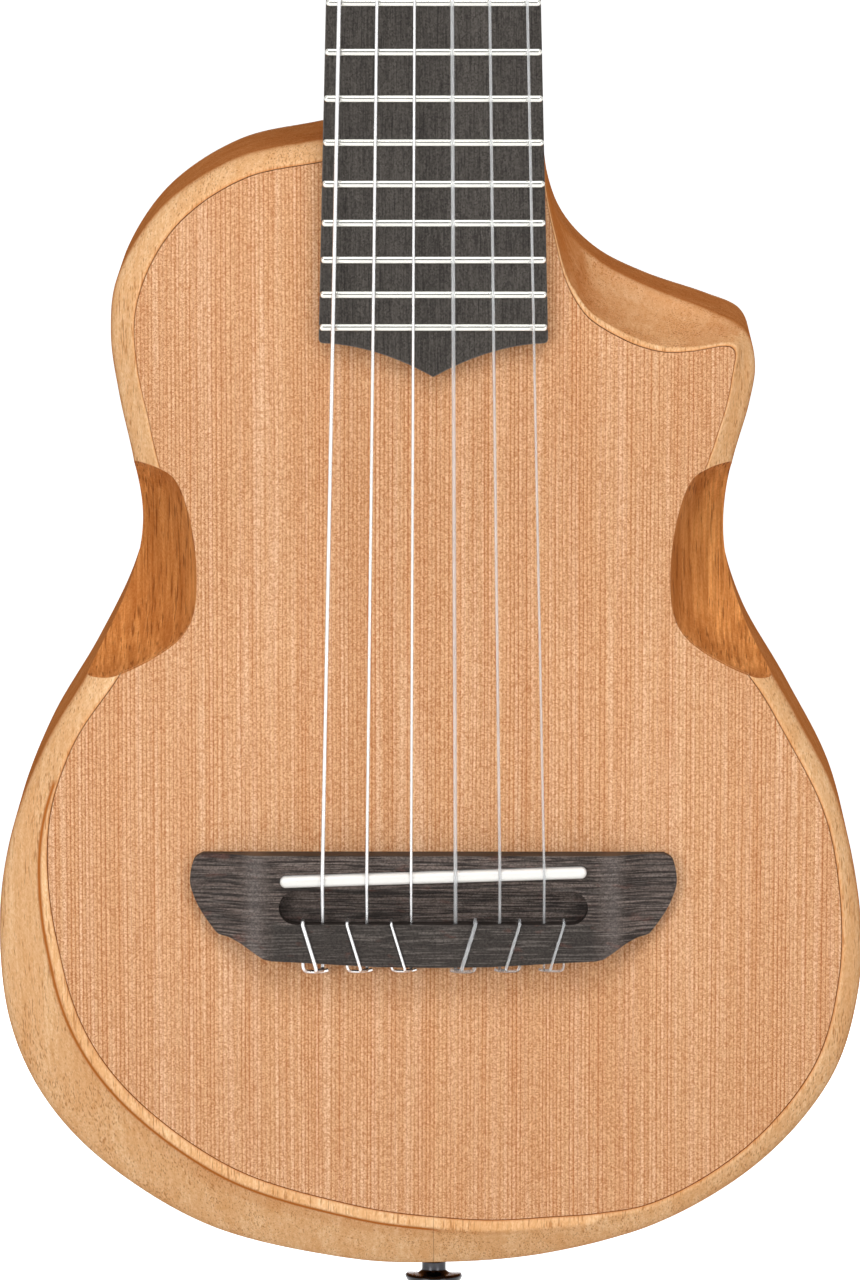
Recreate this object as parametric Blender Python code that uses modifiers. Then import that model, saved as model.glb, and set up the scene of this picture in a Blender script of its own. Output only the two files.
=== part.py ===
"""Guitalele: a small six-string guitar with a carved rim, a flush cedar top and a slotted head.

Metres. +Z runs up the neck, +X to the treble side and the top faces -Y. The origin is the centre
of the strap button's end face, on the centre line of the body and at half its depth.
"""

import math

import bmesh
import bpy
import numpy as np
from mathutils import Matrix, Vector

# Driving dimensions. Lengths are in metres and angles in degrees.
GAP = 0.0003

SCALE_LENGTH = 0.433
FRET_COUNT = 19
BODY_FRET = 14
STRING_DIAMETERS = (0.00107, 0.00089, 0.00076, 0.00102, 0.00081, 0.00071)
STRING_NAMES = ("e6", "a5", "d4", "g3", "b2", "e1")
STRING_CLEARANCE = 0.00025

BODY_WIDTH = 0.228
BODY_LENGTH = 0.300
BODY_DEPTH = 0.070
BODY_EDGE = 0.0015
TOP_THICKNESS = 0.0025
BACK_THICKNESS = 0.003
BODY_SECTIONS = 40
TURN_CROWDING = 0.012
BEVEL_CUTS = 4
SCOOP_DEPTH = 0.028

BRACE_WIDTH = 0.007
BRACE_HEIGHT = 0.010
UPPER_BRACE_RISE = 0.105
LOWER_BRACE_DROP = 0.042
BRIDGE_PLATE_THICKNESS = 0.0025
BRIDGE_PLATE_LENGTH = 0.120
BRIDGE_PLATE_HEIGHT = 0.030
BRIDGE_PLATE_DROP = 0.006

NUT_WIDTH = 0.047
NUT_THICKNESS = 0.005
NUT_HEIGHT = 0.0078
NUT_SLOT_HEIGHT = 0.0066
NUT_STRING_SPREAD = 0.0405
FRETBOARD_END_WIDTH = 0.060
FRETBOARD_THICKNESS = 0.005
FRETBOARD_OVERHANG = 0.0042
FRETBOARD_POINT = 0.0089
FRET_WIDTH = 0.0021
FRET_HEIGHT = 0.0011
TANG_WIDTH = 0.0005
TANG_DEPTH = 0.0018

NECK_DEPTH = 0.018
HEEL_DEPTH = 0.060
HEEL_LENGTH = 0.040
TENON_WIDTH = 0.022
TENON_DEPTH = 0.040
TENON_LENGTH = 0.012

BRIDGE_HEIGHT = 0.0085
BRIDGE_WING_HEIGHT = 0.0036
CHANNEL_WIDTH = 0.0089
CHANNEL_LENGTH = 0.0812
CHANNEL_FLOOR = 0.0028
TIE_HOLE_DIAMETER = 0.0020
TIE_HOLE_HEIGHT = 0.0050
TIE_HOLE_SPACING = 0.0052
TIE_LEAN = 0.0017
SADDLE_LENGTH = 0.0805
SADDLE_THICKNESS = 0.003
SADDLE_HEIGHT = 0.0112
SADDLE_SLOT_DEPTH = 0.004
SADDLE_TILT = 0.0026
SADDLE_STRING_SPREAD = 0.0582

HEAD_ANGLE = 12.0
HEAD_LENGTH = 0.147
HEAD_WIDTH = 0.062
HEAD_THICKNESS = 0.019
HEAD_RIB_WIDTH = 0.013
HEAD_SLOT_WIDTH = 0.014
HEAD_SLOT_START = 0.016
HEAD_SLOT_END = 0.121
FIRST_POST = 0.038
POST_PITCH = 0.035

ROLLER_DIAMETER = 0.010
ROLLER_WAIST_DIAMETER = 0.009
ROLLER_INNER_END = 0.003
ROLLER_NECK_DIAMETER = 0.005
WINDING_TURNS = 2
WINDING_SPACE = 0.0005
WINDING_STARTS = (0.0187, 0.0130, 0.0094)

TUNER_PLATE_THICKNESS = 0.0012
TUNER_PLATE_WIDTH = 0.015
TUNER_PLATE_END = 0.015
GEAR_MODULE = 0.0008
WHEEL_TEETH = 14
WHEEL_THICKNESS = 0.004
WORM_PITCH_RADIUS = 0.0025
WORM_OUTER_RADIUS = 0.0032
WORM_SHAFT_RADIUS = 0.0015
TOOTH_SHARE = 0.36
FLANK_ANGLE = 20.0
WORM_LENGTH = 0.0084
LUG_THICKNESS = 0.0016
LUG_REACH = 0.0028
KNOB_LENGTH = 0.017
KNOB_WIDTH = 0.016
KNOB_THICKNESS = 0.0072
KNOB_CLEARANCE = 0.002

BUTTON_HEIGHT = 0.0105
BUTTON_BASE_DIAMETER = 0.0100
BUTTON_WAIST_DIAMETER = 0.0064
BUTTON_FLANGE_DIAMETER = 0.0155
BUTTON_FLANGE_THICKNESS = 0.0020
BUTTON_BOSS_DIAMETER = 0.0095
BUTTON_BOSS_HEIGHT = 0.0023
SCREW_HEAD_DIAMETER = 0.0064
SCREW_HEAD_HEIGHT = 0.0022
SCREW_SHANK_DIAMETER = 0.0030
SCREW_DEPTH = 0.014

# Places that follow from the driving dimensions.
BODY_BOTTOM = BUTTON_HEIGHT
BODY_TOP = BODY_BOTTOM + BODY_LENGTH
FRONT = -BODY_DEPTH / 2
BACK = BODY_DEPTH / 2
RIM_BACK = BACK - BACK_THICKNESS - GAP
LEDGE = FRONT + TOP_THICKNESS + GAP
NUT_Z = BODY_TOP + SCALE_LENGTH * (1 - 2 ** (-BODY_FRET / 12))
SADDLE_Z = NUT_Z - SCALE_LENGTH
HEAD_START = NUT_Z + NUT_THICKNESS
POST_DEPTH = HEAD_THICKNESS / 2
PLATE_INNER = HEAD_WIDTH / 2 + GAP
PLATE_OUTER = PLATE_INNER + TUNER_PLATE_THICKNESS
WHEEL_MIDDLE = PLATE_OUTER + WORM_OUTER_RADIUS + GAP
WHEEL_START = WHEEL_MIDDLE - WHEEL_THICKNESS / 2
AXIAL_PITCH = math.pi * GEAR_MODULE
WHEEL_PITCH_RADIUS = GEAR_MODULE * WHEEL_TEETH / 2
WORM_OFFSET = WHEEL_PITCH_RADIUS + WORM_PITCH_RADIUS
WHEEL_TIP_RADIUS = WORM_OFFSET - WORM_SHAFT_RADIUS - GAP
WHEEL_ROOT_RADIUS = WORM_OFFSET - WORM_OUTER_RADIUS - GAP
LUG_OFFSET = WORM_LENGTH / 2 + GAP + LUG_THICKNESS / 2
POSTS = [FIRST_POST + i * POST_PITCH for i in range(3)]
BOTTOM_HUB = 0.508

# The body drawing: millimetres from the centre line and above the tail, on a body of this size.
DRAWN_WIDTH = 228
DRAWN_LENGTH = 300
OUTLINE = (
    (-30, 300), (-51.7, 295.1), (-70.6, 282.8), (-82.4, 265), (-84.7, 249), (-82.5, 232.5),
    (-78.6, 214.3), (-76.9, 196.7), (-80.6, 180.4), (-90.3, 160.5), (-102.6, 139.4), (-111.5, 115.9),
    (-114.9, 91), (-112.3, 64.3), (-102.2, 42.3), (-84.3, 24.1), (-58, 8.9), (-25, 1.2),
    (0, 0), (29.9, 3.2), (61, 12.9), (86.9, 29.2), (104.7, 50.4), (112, 73), (112.6, 96),
    (106.6, 125.3), (94.6, 149.5), (82.4, 171), (76.8, 191), (77.8, 211.6), (82.8, 230.1),
    (84.4, 241), (81.6, 249.6), (72, 254), (56.9, 259.1), (43.9, 265.5), (34.7, 274.7),
    (30.2, 285.7), (28.6, 300),
)
SCOOP_EDGE = (
    (91, 158), (84, 158.9), (74.5, 163.2), (66.5, 169), (62.8, 176), (62.1, 186),
    (62.9, 195.5), (64.8, 204.2), (67.6, 210.8), (71.5, 213.8), (77.4, 215.8),
    (88, 219), (104, 214), (110, 190), (104, 166),
)
SCOOP_MIDDLE = (90, 187)

# Widths along the rim, by bearing round the hub: 0 is treble, 90 the neck, 180 bass, 270 the tail.
# The rim's face between its outer edge and the top.
RIM_FACE = (
    (3.5, 0.0055), (20, 0.0085), (38, 0.0115), (44, 0.0118), (47.5, 0.0088), (50, 0.0050),
    (53.8, 0.0104), (58, 0.0132), (66.7, 0.0122), (70, 0.0108), (73, 0.0080), (76, 0.0032),
    (78.5, 0.0022), (82, 0.0050), (98, 0.0054), (108, 0.0053), (116, 0.0058), (123, 0.0072),
    (128.5, 0.0094), (134, 0.0117), (140, 0.0108), (158, 0.0085), (176, 0.0080), (184, 0.0075),
    (190, 0.0081), (197, 0.0102), (208.5, 0.0160), (217, 0.0198), (229, 0.0210), (242, 0.0202),
    (255, 0.0183), (265, 0.0164), (275, 0.0134), (282, 0.0115), (288, 0.0088), (295, 0.0064),
    (312, 0.0063), (328, 0.0065), (341, 0.0050), (350, 0.0058),
)
# The flat step of that face, next to the top, before the bevel falls away.
RIM_STEP = (
    (0, 0.0010), (48, 0.0009), (54, 0.0013), (72, 0.0013), (77, 0.0009), (190, 0.0010),
    (198, 0.0026), (230, 0.0029), (283, 0.0028), (292, 0.0010),
)
# How far the bevel falls back by the outer edge.
RIM_DROP = (
    (0, 0.005), (40, 0.006), (47, 0.007), (50, 0.010), (54, 0.018), (60, 0.026), (70, 0.033),
    (74, 0.028), (77, 0.014), (79, 0.004), (81, 0.0006), (99, 0.0006), (102, 0.005),
    (134, 0.006), (158, 0.005), (183, 0.006), (195, 0.009), (208, 0.013), (229, 0.016),
    (262, 0.015), (276, 0.012), (288, 0.007), (296, 0.005), (330, 0.005),
)
# How hollow the bevel is: 1 is straight, 2 a cove.
RIM_HOLLOW = ((0, 0.9), (46, 0.9), (54, 1.9), (62, 2.3), (73, 2.3), (79, 1.0), (185, 0.9), (300, 0.9))
# The wood between the outer edge and the chamber.
RIM_WALL = (
    (3.5, 0.021), (9, 0.025), (40, 0.025), (44, 0.021), (48, 0.017), (54, 0.019), (60, 0.021),
    (70, 0.021), (76, 0.026), (80, 0.030), (100, 0.030), (104, 0.020), (109, 0.014),
    (122, 0.015), (130, 0.018), (136, 0.023), (140, 0.026), (172, 0.026), (178, 0.021),
    (186, 0.016), (197, 0.018), (208, 0.024), (229, 0.029), (255, 0.026), (275, 0.022),
    (288, 0.017), (298, 0.014), (330, 0.014), (350, 0.014),
)

for existing in list(bpy.data.objects):
    bpy.data.objects.remove(existing)

parts = bpy.data.collections.new("guitalele")
cutters = bpy.data.collections.new("cutters")
bpy.context.scene.collection.children.link(parts)
bpy.context.scene.collection.children.link(cutters)


# Finishes


def finish(name, colour, roughness, metallic=0.0):
    """A plain surface of one colour, made once."""
    made = bpy.data.materials.get(name)
    if made:
        return made
    made = bpy.data.materials.new(name)
    made.use_nodes = True
    shader = made.node_tree.nodes["Principled BSDF"]
    shader.inputs["Base Color"].default_value = (*colour, 1)
    shader.inputs["Roughness"].default_value = roughness
    shader.inputs["Metallic"].default_value = metallic
    made.diffuse_color = (*colour, 1)
    return made


def cedar():
    return finish("cedar_top", (0.73, 0.42, 0.23), 0.5)


def rim_wood():
    return finish("golden_hardwood", (0.66, 0.35, 0.13), 0.4)


def neck_wood():
    return finish("reddish_hardwood", (0.42, 0.18, 0.07), 0.5)


def dark_wood():
    return finish("dark_hardwood", (0.045, 0.036, 0.032), 0.45)


def brace_wood():
    return finish("spruce", (0.75, 0.58, 0.36), 0.7)


def bone():
    return finish("bone_white", (0.88, 0.87, 0.82), 0.3)


def fret_metal():
    return finish("nickel_silver", (0.75, 0.74, 0.70), 0.25, 1.0)


def wound_string():
    return finish("silver_wound", (0.82, 0.82, 0.84), 0.3, 0.9)


def nylon_string():
    return finish("clear_nylon", (0.78, 0.78, 0.76), 0.15)


def bright_metal():
    return finish("nickel_plate", (0.70, 0.69, 0.66), 0.25, 1.0)


def brass():
    return finish("brass_wheel", (0.70, 0.52, 0.22), 0.3, 1.0)


def knob_plastic():
    return finish("pearl_plastic", (0.80, 0.78, 0.72), 0.2)


def black_metal():
    return finish("black_nickel", (0.05, 0.05, 0.055), 0.2, 1.0)


# Making and joining


def add(obj, material, smooth=35.0):
    """Puts a piece among the parts, with its finish, shaded round where it turns gently."""
    parts.objects.link(obj)
    obj.data.materials.append(material)
    if obj.type == "MESH":
        obj.data.shade_smooth()
        obj.data.set_sharp_from_angle(angle=math.radians(smooth))
    return obj


def add_cutter(obj):
    """Puts a shape that only cuts or joins among the cutters."""
    cutters.objects.link(obj)
    obj.hide_render = True
    obj.display_type = "WIRE"
    return obj


def combine(obj, other, operation):
    modifier = obj.modifiers.new(operation.lower(), "BOOLEAN")
    modifier.operation = operation
    modifier.solver = "EXACT"
    modifier.object = other


def cut(obj, cutter):
    combine(obj, cutter, "DIFFERENCE")


def join(obj, other):
    combine(obj, other, "UNION")


def mesh_object(name, builder):
    """An object from a bmesh, with coincident points made one and its faces turned outwards."""
    bmesh.ops.remove_doubles(builder, verts=builder.verts, dist=0.000001)
    bmesh.ops.recalc_face_normals(builder, faces=builder.faces)
    mesh = bpy.data.meshes.new(name)
    builder.to_mesh(mesh)
    builder.free()
    return bpy.data.objects.new(name, mesh)


def loft(name, rings):
    """A skin through closed rings of equal count, with a flat end on the first and the last."""
    builder = bmesh.new()
    rows = [[builder.verts.new(point) for point in ring] for ring in rings]
    for near, far in zip(rows, rows[1:]):
        for i in range(len(near)):
            j = (i + 1) % len(near)
            builder.faces.new((near[i], near[j], far[j], far[i]))
    builder.faces.new(rows[0])
    builder.faces.new(rows[-1])
    return mesh_object(name, builder)


def boxes(name, spans):
    """Square blocks in one mesh, each from its lowest to its highest corner."""
    builder = bmesh.new()
    for low, high in spans:
        middle = (Vector(low) + Vector(high)) / 2
        size = Vector(high) - Vector(low)
        place = Matrix.Translation(middle) @ Matrix.Diagonal((*size, 1))
        bmesh.ops.create_cube(builder, size=1, matrix=place)
    return mesh_object(name, builder)


def gathered(name, objects):
    """Several shapes that don't touch, put into one mesh."""
    builder = bmesh.new()
    for obj in objects:
        builder.from_mesh(obj.data)
        bpy.data.objects.remove(obj)
    return mesh_object(name, builder)


def rods(name, places, radius, length, sides):
    """Round rods in one mesh. Each place is a frame whose Z is the rod's axis."""
    builder = bmesh.new()
    for place in places:
        bmesh.ops.create_cone(
            builder, cap_ends=True, segments=sides, radius1=radius, radius2=radius,
            depth=length, matrix=place,
        )
    return mesh_object(name, builder)


def plate(name, outline, low, high, frame=None, holes=()):
    """A flat outline in local X and Y, solid from low to high along local Z, with any holes."""
    curve = bpy.data.curves.new(name, "CURVE")
    curve.dimensions = "2D"
    curve.fill_mode = "BOTH"
    curve.extrude = (high - low) / 2
    for loop in (outline, *holes):
        spline = curve.splines.new("POLY")
        spline.points.add(len(loop) - 1)
        spline.use_cyclic_u = True
        for point, (x, y) in zip(spline.points, loop):
            point.co = (x, y, 0, 1)
    guide = bpy.data.objects.new(name, curve)
    bpy.context.scene.collection.objects.link(guide)
    graph = bpy.context.evaluated_depsgraph_get()
    mesh = bpy.data.meshes.new_from_object(guide.evaluated_get(graph))
    bpy.data.objects.remove(guide)
    bpy.data.curves.remove(curve)
    mesh.transform((frame or Matrix()) @ Matrix.Translation((0, 0, (low + high) / 2)))
    builder = bmesh.new()
    builder.from_mesh(mesh)
    bpy.data.meshes.remove(mesh)
    return mesh_object(name, builder)


def turned(name, profile, steps):
    """A turned shape about local Z. The profile lists radius and height from the top down."""
    mesh = bpy.data.meshes.new(name)
    points = [(radius, 0, height) for radius, height in profile]
    mesh.from_pydata(points, [(i, i + 1) for i in range(len(points) - 1)], [])
    obj = bpy.data.objects.new(name, mesh)
    screw = obj.modifiers.new("turn", "SCREW")
    screw.axis = "Z"
    screw.steps = steps
    screw.render_steps = steps
    screw.use_merge_vertices = True
    screw.merge_threshold = 0.000001
    screw.use_smooth_shade = True
    return obj


def through_points(points, steps):
    """A smooth curve through an open row of points, each stretch cut into equal steps."""
    row = [np.array(point, float) for point in points]
    row = [2 * row[0] - row[1], *row, 2 * row[-1] - row[-2]]
    curve = []
    for a, b, c, d in zip(row, row[1:], row[2:], row[3:]):
        for t in np.arange(steps) / steps:
            bend = (c - a) * t + (2 * a - 5 * b + 4 * c - d) * t**2 + (3 * b - a - 3 * c + d) * t**3
            curve.append(b + bend / 2)
    curve.append(row[-2])
    return np.array(curve)


def arc(middle, radius, start, end, count):
    """Points on a circle from one angle to another, in degrees."""
    angles = np.radians(np.linspace(start, end, count))
    return [(middle[0] + radius * math.cos(a), middle[1] + radius * math.sin(a)) for a in angles]


def rounded_slot(x_low, x_high, y_low, y_high, count=7):
    """A slot along Y with round ends."""
    radius = (x_high - x_low) / 2
    middle = (x_low + x_high) / 2
    top = arc((middle, y_high - radius), radius, 0, 180, count)
    return top + arc((middle, y_low + radius), radius, 180, 360, count)


# The frame that turns a flat outline in X and Z to face forward, with its depth along -Y.
FACING = Matrix.Rotation(math.pi / 2, 4, "X")
# The frame of the head: X across, Y into the wood from its face, Z up its face from the nut.
HEAD = Matrix.Translation((0, FRONT, HEAD_START)) @ Matrix.Rotation(-math.radians(HEAD_ANGLE), 4, "X")
# The frame of a rod along X, and of one along the head's Y.
ALONG_X = Matrix.Rotation(math.pi / 2, 4, "Y")
ALONG_Y = Matrix.Rotation(-math.pi / 2, 4, "X")


# Body


def drawn(points):
    """Points of the body drawing at the real size, as X and Z."""
    across = BODY_WIDTH / DRAWN_WIDTH
    along = BODY_LENGTH / DRAWN_LENGTH
    return [(x * across, BODY_BOTTOM + z * along) for x, z in points]


HUB = (0.0, BODY_BOTTOM + BOTTOM_HUB * BODY_LENGTH)


def polar_outline():
    """Bearings and radii of the outer outline round the hub, from the neck round by the bass."""
    curve = through_points(drawn(OUTLINE), 12)
    seat = np.linspace(curve[-1], curve[0], 14)[1:]
    across, along = (np.vstack([curve, seat]) - HUB).T
    bearings = np.degrees(np.arctan2(along, across)) % 360
    order = np.argsort(bearings)
    return bearings[order], np.hypot(across, along)[order]


OUTLINE_BEARINGS, OUTLINE_RADII = polar_outline()


def outer_radius(bearing):
    return np.interp(bearing % 360, OUTLINE_BEARINGS, OUTLINE_RADII, period=360)


def along_rim(table, bearing):
    """A width of the rim at a bearing, smoothly between the table's own bearings."""
    row = [(b - 360, w) for b, w in table[-2:]] + list(table) + [(b + 360, w) for b, w in table[:2]]
    bearings, widths = through_points(row, 6).T
    return float(np.interp(bearing % 360, bearings, widths))


def at_bearing(bearing, radius, y):
    angle = math.radians(bearing)
    return (HUB[0] + radius * math.cos(angle), y, HUB[1] + radius * math.sin(angle))


def half_bearings(start, end):
    """Bearings round one side, evenly spaced along the outline and closer where it turns."""
    fine = np.linspace(start, end, 721)
    radii = outer_radius(fine)
    x = radii * np.cos(np.radians(fine))
    z = radii * np.sin(np.radians(fine))
    heading = np.unwrap(np.arctan2(np.diff(z), np.diff(x)))
    turn = np.abs(np.diff(heading, prepend=heading[0]))
    run = np.concatenate([[0], np.cumsum(np.hypot(np.diff(x), np.diff(z)) + TURN_CROWDING * turn)])
    even = np.interp(np.linspace(0, run[-1], BODY_SECTIONS + 1), run, fine)
    corner = corner_bearing(start, end)
    inner = even[1:-1]
    nearest = np.argmin(abs(inner - corner))
    inner[nearest] = corner
    return [start, *inner, end]


def corner_bearing(start, end):
    """Where the neck's seat meets the curve of this side."""
    x, z = drawn(OUTLINE)[-1 if start < end and end == 90 else 0]
    bearing = math.degrees(math.atan2(z - HUB[1], x - HUB[0]))
    return bearing


def rim_section(bearing):
    """The rim cut across at a bearing: face, bevel, side wall, back, chamber wall and ledge."""
    outer = outer_radius(bearing)
    joint = outer - along_rim(RIM_FACE, bearing)
    shoulder = joint + along_rim(RIM_STEP, bearing)
    drop = along_rim(RIM_DROP, bearing)
    hollow = along_rim(RIM_HOLLOW, bearing)
    inner = outer - along_rim(RIM_WALL, bearing)
    profile = [(joint, FRONT)]
    for t in np.linspace(0, 1, BEVEL_CUTS + 1):
        fall = drop * (1 - (1 - t) ** hollow)
        profile.append((shoulder + (outer - shoulder) * t, FRONT + fall))
    profile += [(outer, RIM_BACK), (inner, RIM_BACK), (inner, LEDGE), (joint, LEDGE)]
    return [at_bearing(bearing, radius, y) for radius, y in profile]


def rim_half(name, start, end, side):
    """One half of the rim, stopping short of the centre seam by half the gap."""
    rings = [rim_section(bearing) for bearing in half_bearings(start, end)]
    for ring in (rings[0], rings[-1]):
        ring[:] = [(side * GAP / 2, y, z) for x, y, z in ring]
    return add(loft(name, rings), rim_wood())


def scoop_cutter(name, side):
    """A cove for the waist: its edge on the face, shrinking to nothing at its full depth."""
    loop = through_points(drawn(SCOOP_EDGE + SCOOP_EDGE[:1]), 2)[:-1]
    middle = np.array(drawn([SCOOP_MIDDLE])[0])
    rings = []
    for lean in (None, 0, 18, 36, 52, 66, 78, 86):
        share = 1 if lean is None else math.cos(math.radians(lean))
        depth = -0.002 if lean is None else SCOOP_DEPTH * math.sin(math.radians(lean))
        flat = middle + (loop - middle) * share
        rings.append([(side * x, FRONT + depth, z) for x, z in flat])
    return add_cutter(loft(name, rings))


def rim_loop(inset, bearings):
    return [at_bearing(b, outer_radius(b) - inset(b), 0)[::2] for b in bearings]


def soundboard():
    """The cedar top, flush in the rim's ledge."""
    bearings = half_bearings(90, 270) + half_bearings(-90, 90)[1:-1]
    loop = rim_loop(lambda b: along_rim(RIM_FACE, b) + GAP, bearings)
    return add(plate("soundboard", loop, -FRONT - TOP_THICKNESS, -FRONT, FACING), cedar())


def back_plate():
    """The back, glued over the whole rim, with its outer edge eased."""
    bearings = half_bearings(90, 270) + half_bearings(-90, 90)[1:-1]
    rings = []
    for inset, y in ((0, BACK - BACK_THICKNESS), (0, BACK - BODY_EDGE), (BODY_EDGE, BACK)):
        rings.append([at_bearing(b, outer_radius(b) - inset, y) for b in bearings])
    return add(loft("back_plate", rings), neck_wood())


def chamber_half_width(z, side):
    """From the centre line to the chamber's wall at a height up the body."""
    reach = 0.0
    for bearing in np.arange(0, 360, 1.0):
        x, _, height = at_bearing(bearing, outer_radius(bearing) - along_rim(RIM_WALL, bearing), 0)
        if side * x > 0 and abs(height - z) < 0.004:
            reach = max(reach, 0.0) if reach and reach < abs(x) else abs(x)
    return reach


def brace(name, z):
    """A bar glued across the underside of the top, thinned towards its ends."""
    left = -chamber_half_width(z, -1) + 0.004
    right = chamber_half_width(z, 1) - 0.004
    top = -LEDGE
    full = top - BRACE_HEIGHT
    thin = top - BRACE_HEIGHT * 0.35
    run = 0.022
    outline = [
        (left, top), (left, thin), (left + run, full), (right - run, full), (right, thin),
        (right, top),
    ]
    frame = Matrix(((1, 0, 0, 0), (0, -1, 0, 0), (0, 0, 1, 0), (0, 0, 0, 1)))
    return add(plate(name, outline, z - BRACE_WIDTH / 2, z + BRACE_WIDTH / 2, frame), brace_wood())


def body():
    bass = rim_half("body_side_bass", 90, 270, -1)
    treble = rim_half("body_side_treble", -90, 90, 1)
    top = soundboard()
    back_plate()
    for side, half in ((-1, bass), (1, treble)):
        scoop = scoop_cutter(f"scoop_cutter_{'bass' if side < 0 else 'treble'}", side)
        cut(half, scoop)
        cut(top, scoop)
    mortise = boxes("mortise_cutter", [tenon_span(GAP)])
    pilot_place = Matrix.Translation((0, 0, BODY_BOTTOM + SCREW_DEPTH / 2))
    pilot = rods("pilot_cutter", [pilot_place], SCREW_SHANK_DIAMETER / 2 + GAP, SCREW_DEPTH + 0.002, 12)
    for shape in (mortise, pilot):
        add_cutter(shape)
        cut(bass, shape)
        cut(treble, shape)
    brace("upper_brace", SADDLE_Z + UPPER_BRACE_RISE)
    brace("lower_brace", SADDLE_Z - LOWER_BRACE_DROP)
    low = SADDLE_Z - BRIDGE_PLATE_DROP - BRIDGE_PLATE_HEIGHT / 2
    half = BRIDGE_PLATE_LENGTH / 2
    span = (
        (-half, LEDGE, low),
        (half, LEDGE + BRIDGE_PLATE_THICKNESS, low + BRIDGE_PLATE_HEIGHT),
    )
    add(boxes("bridge_plate", [span]), brace_wood())


# Neck and fretboard


def fret_z(number):
    return NUT_Z - SCALE_LENGTH * (1 - 2 ** (-number / 12))


BOARD_END = fret_z(FRET_COUNT) - FRETBOARD_OVERHANG


def board_half_width(z):
    """Half the fretboard's width: a straight taper from the nut to its end corners."""
    share = (NUT_Z - z) / (NUT_Z - BOARD_END)
    return (NUT_WIDTH + (FRETBOARD_END_WIDTH - NUT_WIDTH) * share) / 2


def board_outline():
    """The fretboard seen from the front, with its pointed end swept up to the corners."""
    half = board_half_width(BOARD_END)
    end = []
    for share in np.linspace(-1, 1, 19):
        rise = FRETBOARD_POINT * (1 - (1 - abs(share)) ** 1.9)
        end.append((share * half, BOARD_END - FRETBOARD_POINT + rise))
    top = NUT_Z - GAP
    return end + [(board_half_width(top), top), (-board_half_width(top), top)]


def fretboard():
    board = add(
        plate("fretboard", board_outline(), -FRONT + GAP, -FRONT + FRETBOARD_THICKNESS, FACING),
        dark_wood(),
    )
    slot = TANG_WIDTH / 2 + GAP
    spans = []
    for number in range(1, FRET_COUNT + 1):
        z = fret_z(number)
        face = FRONT - FRETBOARD_THICKNESS
        spans.append(((-0.05, face - 0.001, z - slot), (0.05, face + TANG_DEPTH + GAP, z + slot)))
    cut(board, add_cutter(boxes("fret_slot_cutter", spans)))


def fret(number):
    """A crowned wire on its tang, its two ends rounded off like beads."""
    z = fret_z(number)
    half = board_half_width(z) - 0.0001
    face = FRONT - FRETBOARD_THICKNESS - GAP
    tang = TANG_WIDTH / 2
    crown = arc((0, 0), 1, 0, 180, 5)
    rings = []
    for x, share in ((-half, 0.5), (0.0007 - half, 1), (half - 0.0007, 1), (half, 0.5)):
        ring = [(x, face - FRET_HEIGHT * share * up, z + FRET_WIDTH / 2 * share * out) for out, up in crown]
        foot = face + GAP + TANG_DEPTH
        ring += [(x, face, z - tang), (x, foot, z - tang), (x, foot, z + tang), (x, face, z + tang)]
        rings.append(ring)
    add(loft(f"fret_{number:02d}", rings), fret_metal())


def nut():
    """The nut, with its rounded crest and a round-bottomed slot for each string."""
    low = NUT_Z + GAP
    high = NUT_Z + NUT_THICKNESS
    base = -FRONT + GAP
    crest = -FRONT + NUT_HEIGHT
    slope = crest - 0.0012
    outline = [(base, low), (crest - 0.0004, low), (crest, low + 0.0008), (crest - 0.0002, low + 0.002),
               (slope, high), (base, high)]
    frame = Matrix(((0, 0, 1, 0), (-1, 0, 0, 0), (0, 1, 0, 0), (0, 0, 0, 1)))
    half = NUT_WIDTH / 2
    piece = add(plate("nut", outline, -half, half, frame), bone())
    places = []
    for index, diameter in enumerate(STRING_DIAMETERS):
        x = string_x(index, NUT_STRING_SPREAD)
        y = FRONT - NUT_SLOT_HEIGHT - diameter / 2
        places.append(Matrix.Translation((x, y, NUT_Z + NUT_THICKNESS / 2)))
    slots = rods("nut_slot_cutter", places, max(STRING_DIAMETERS) / 2 + GAP, 0.02, 8)
    cut(piece, add_cutter(slots))


def tenon_span(slack):
    """The block of the heel that goes into the neck block of the body."""
    half = TENON_WIDTH / 2 + slack
    front = FRONT + 0.006
    return (
        (-half, front - slack, BODY_TOP - TENON_LENGTH - slack),
        (half, front + TENON_DEPTH + slack, BODY_TOP + 0.004),
    )


def neck_ring(half_width, depth, roundness, place, count=15):
    """A cross section of the neck: flat under the fretboard and round behind."""
    ring = []
    for angle in np.linspace(0, math.pi, count):
        x = half_width * math.copysign(abs(math.cos(angle)) ** roundness, math.cos(angle))
        y = depth * math.sin(angle) ** roundness
        ring.append(place @ Vector((x, y, 0)))
    return ring


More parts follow.
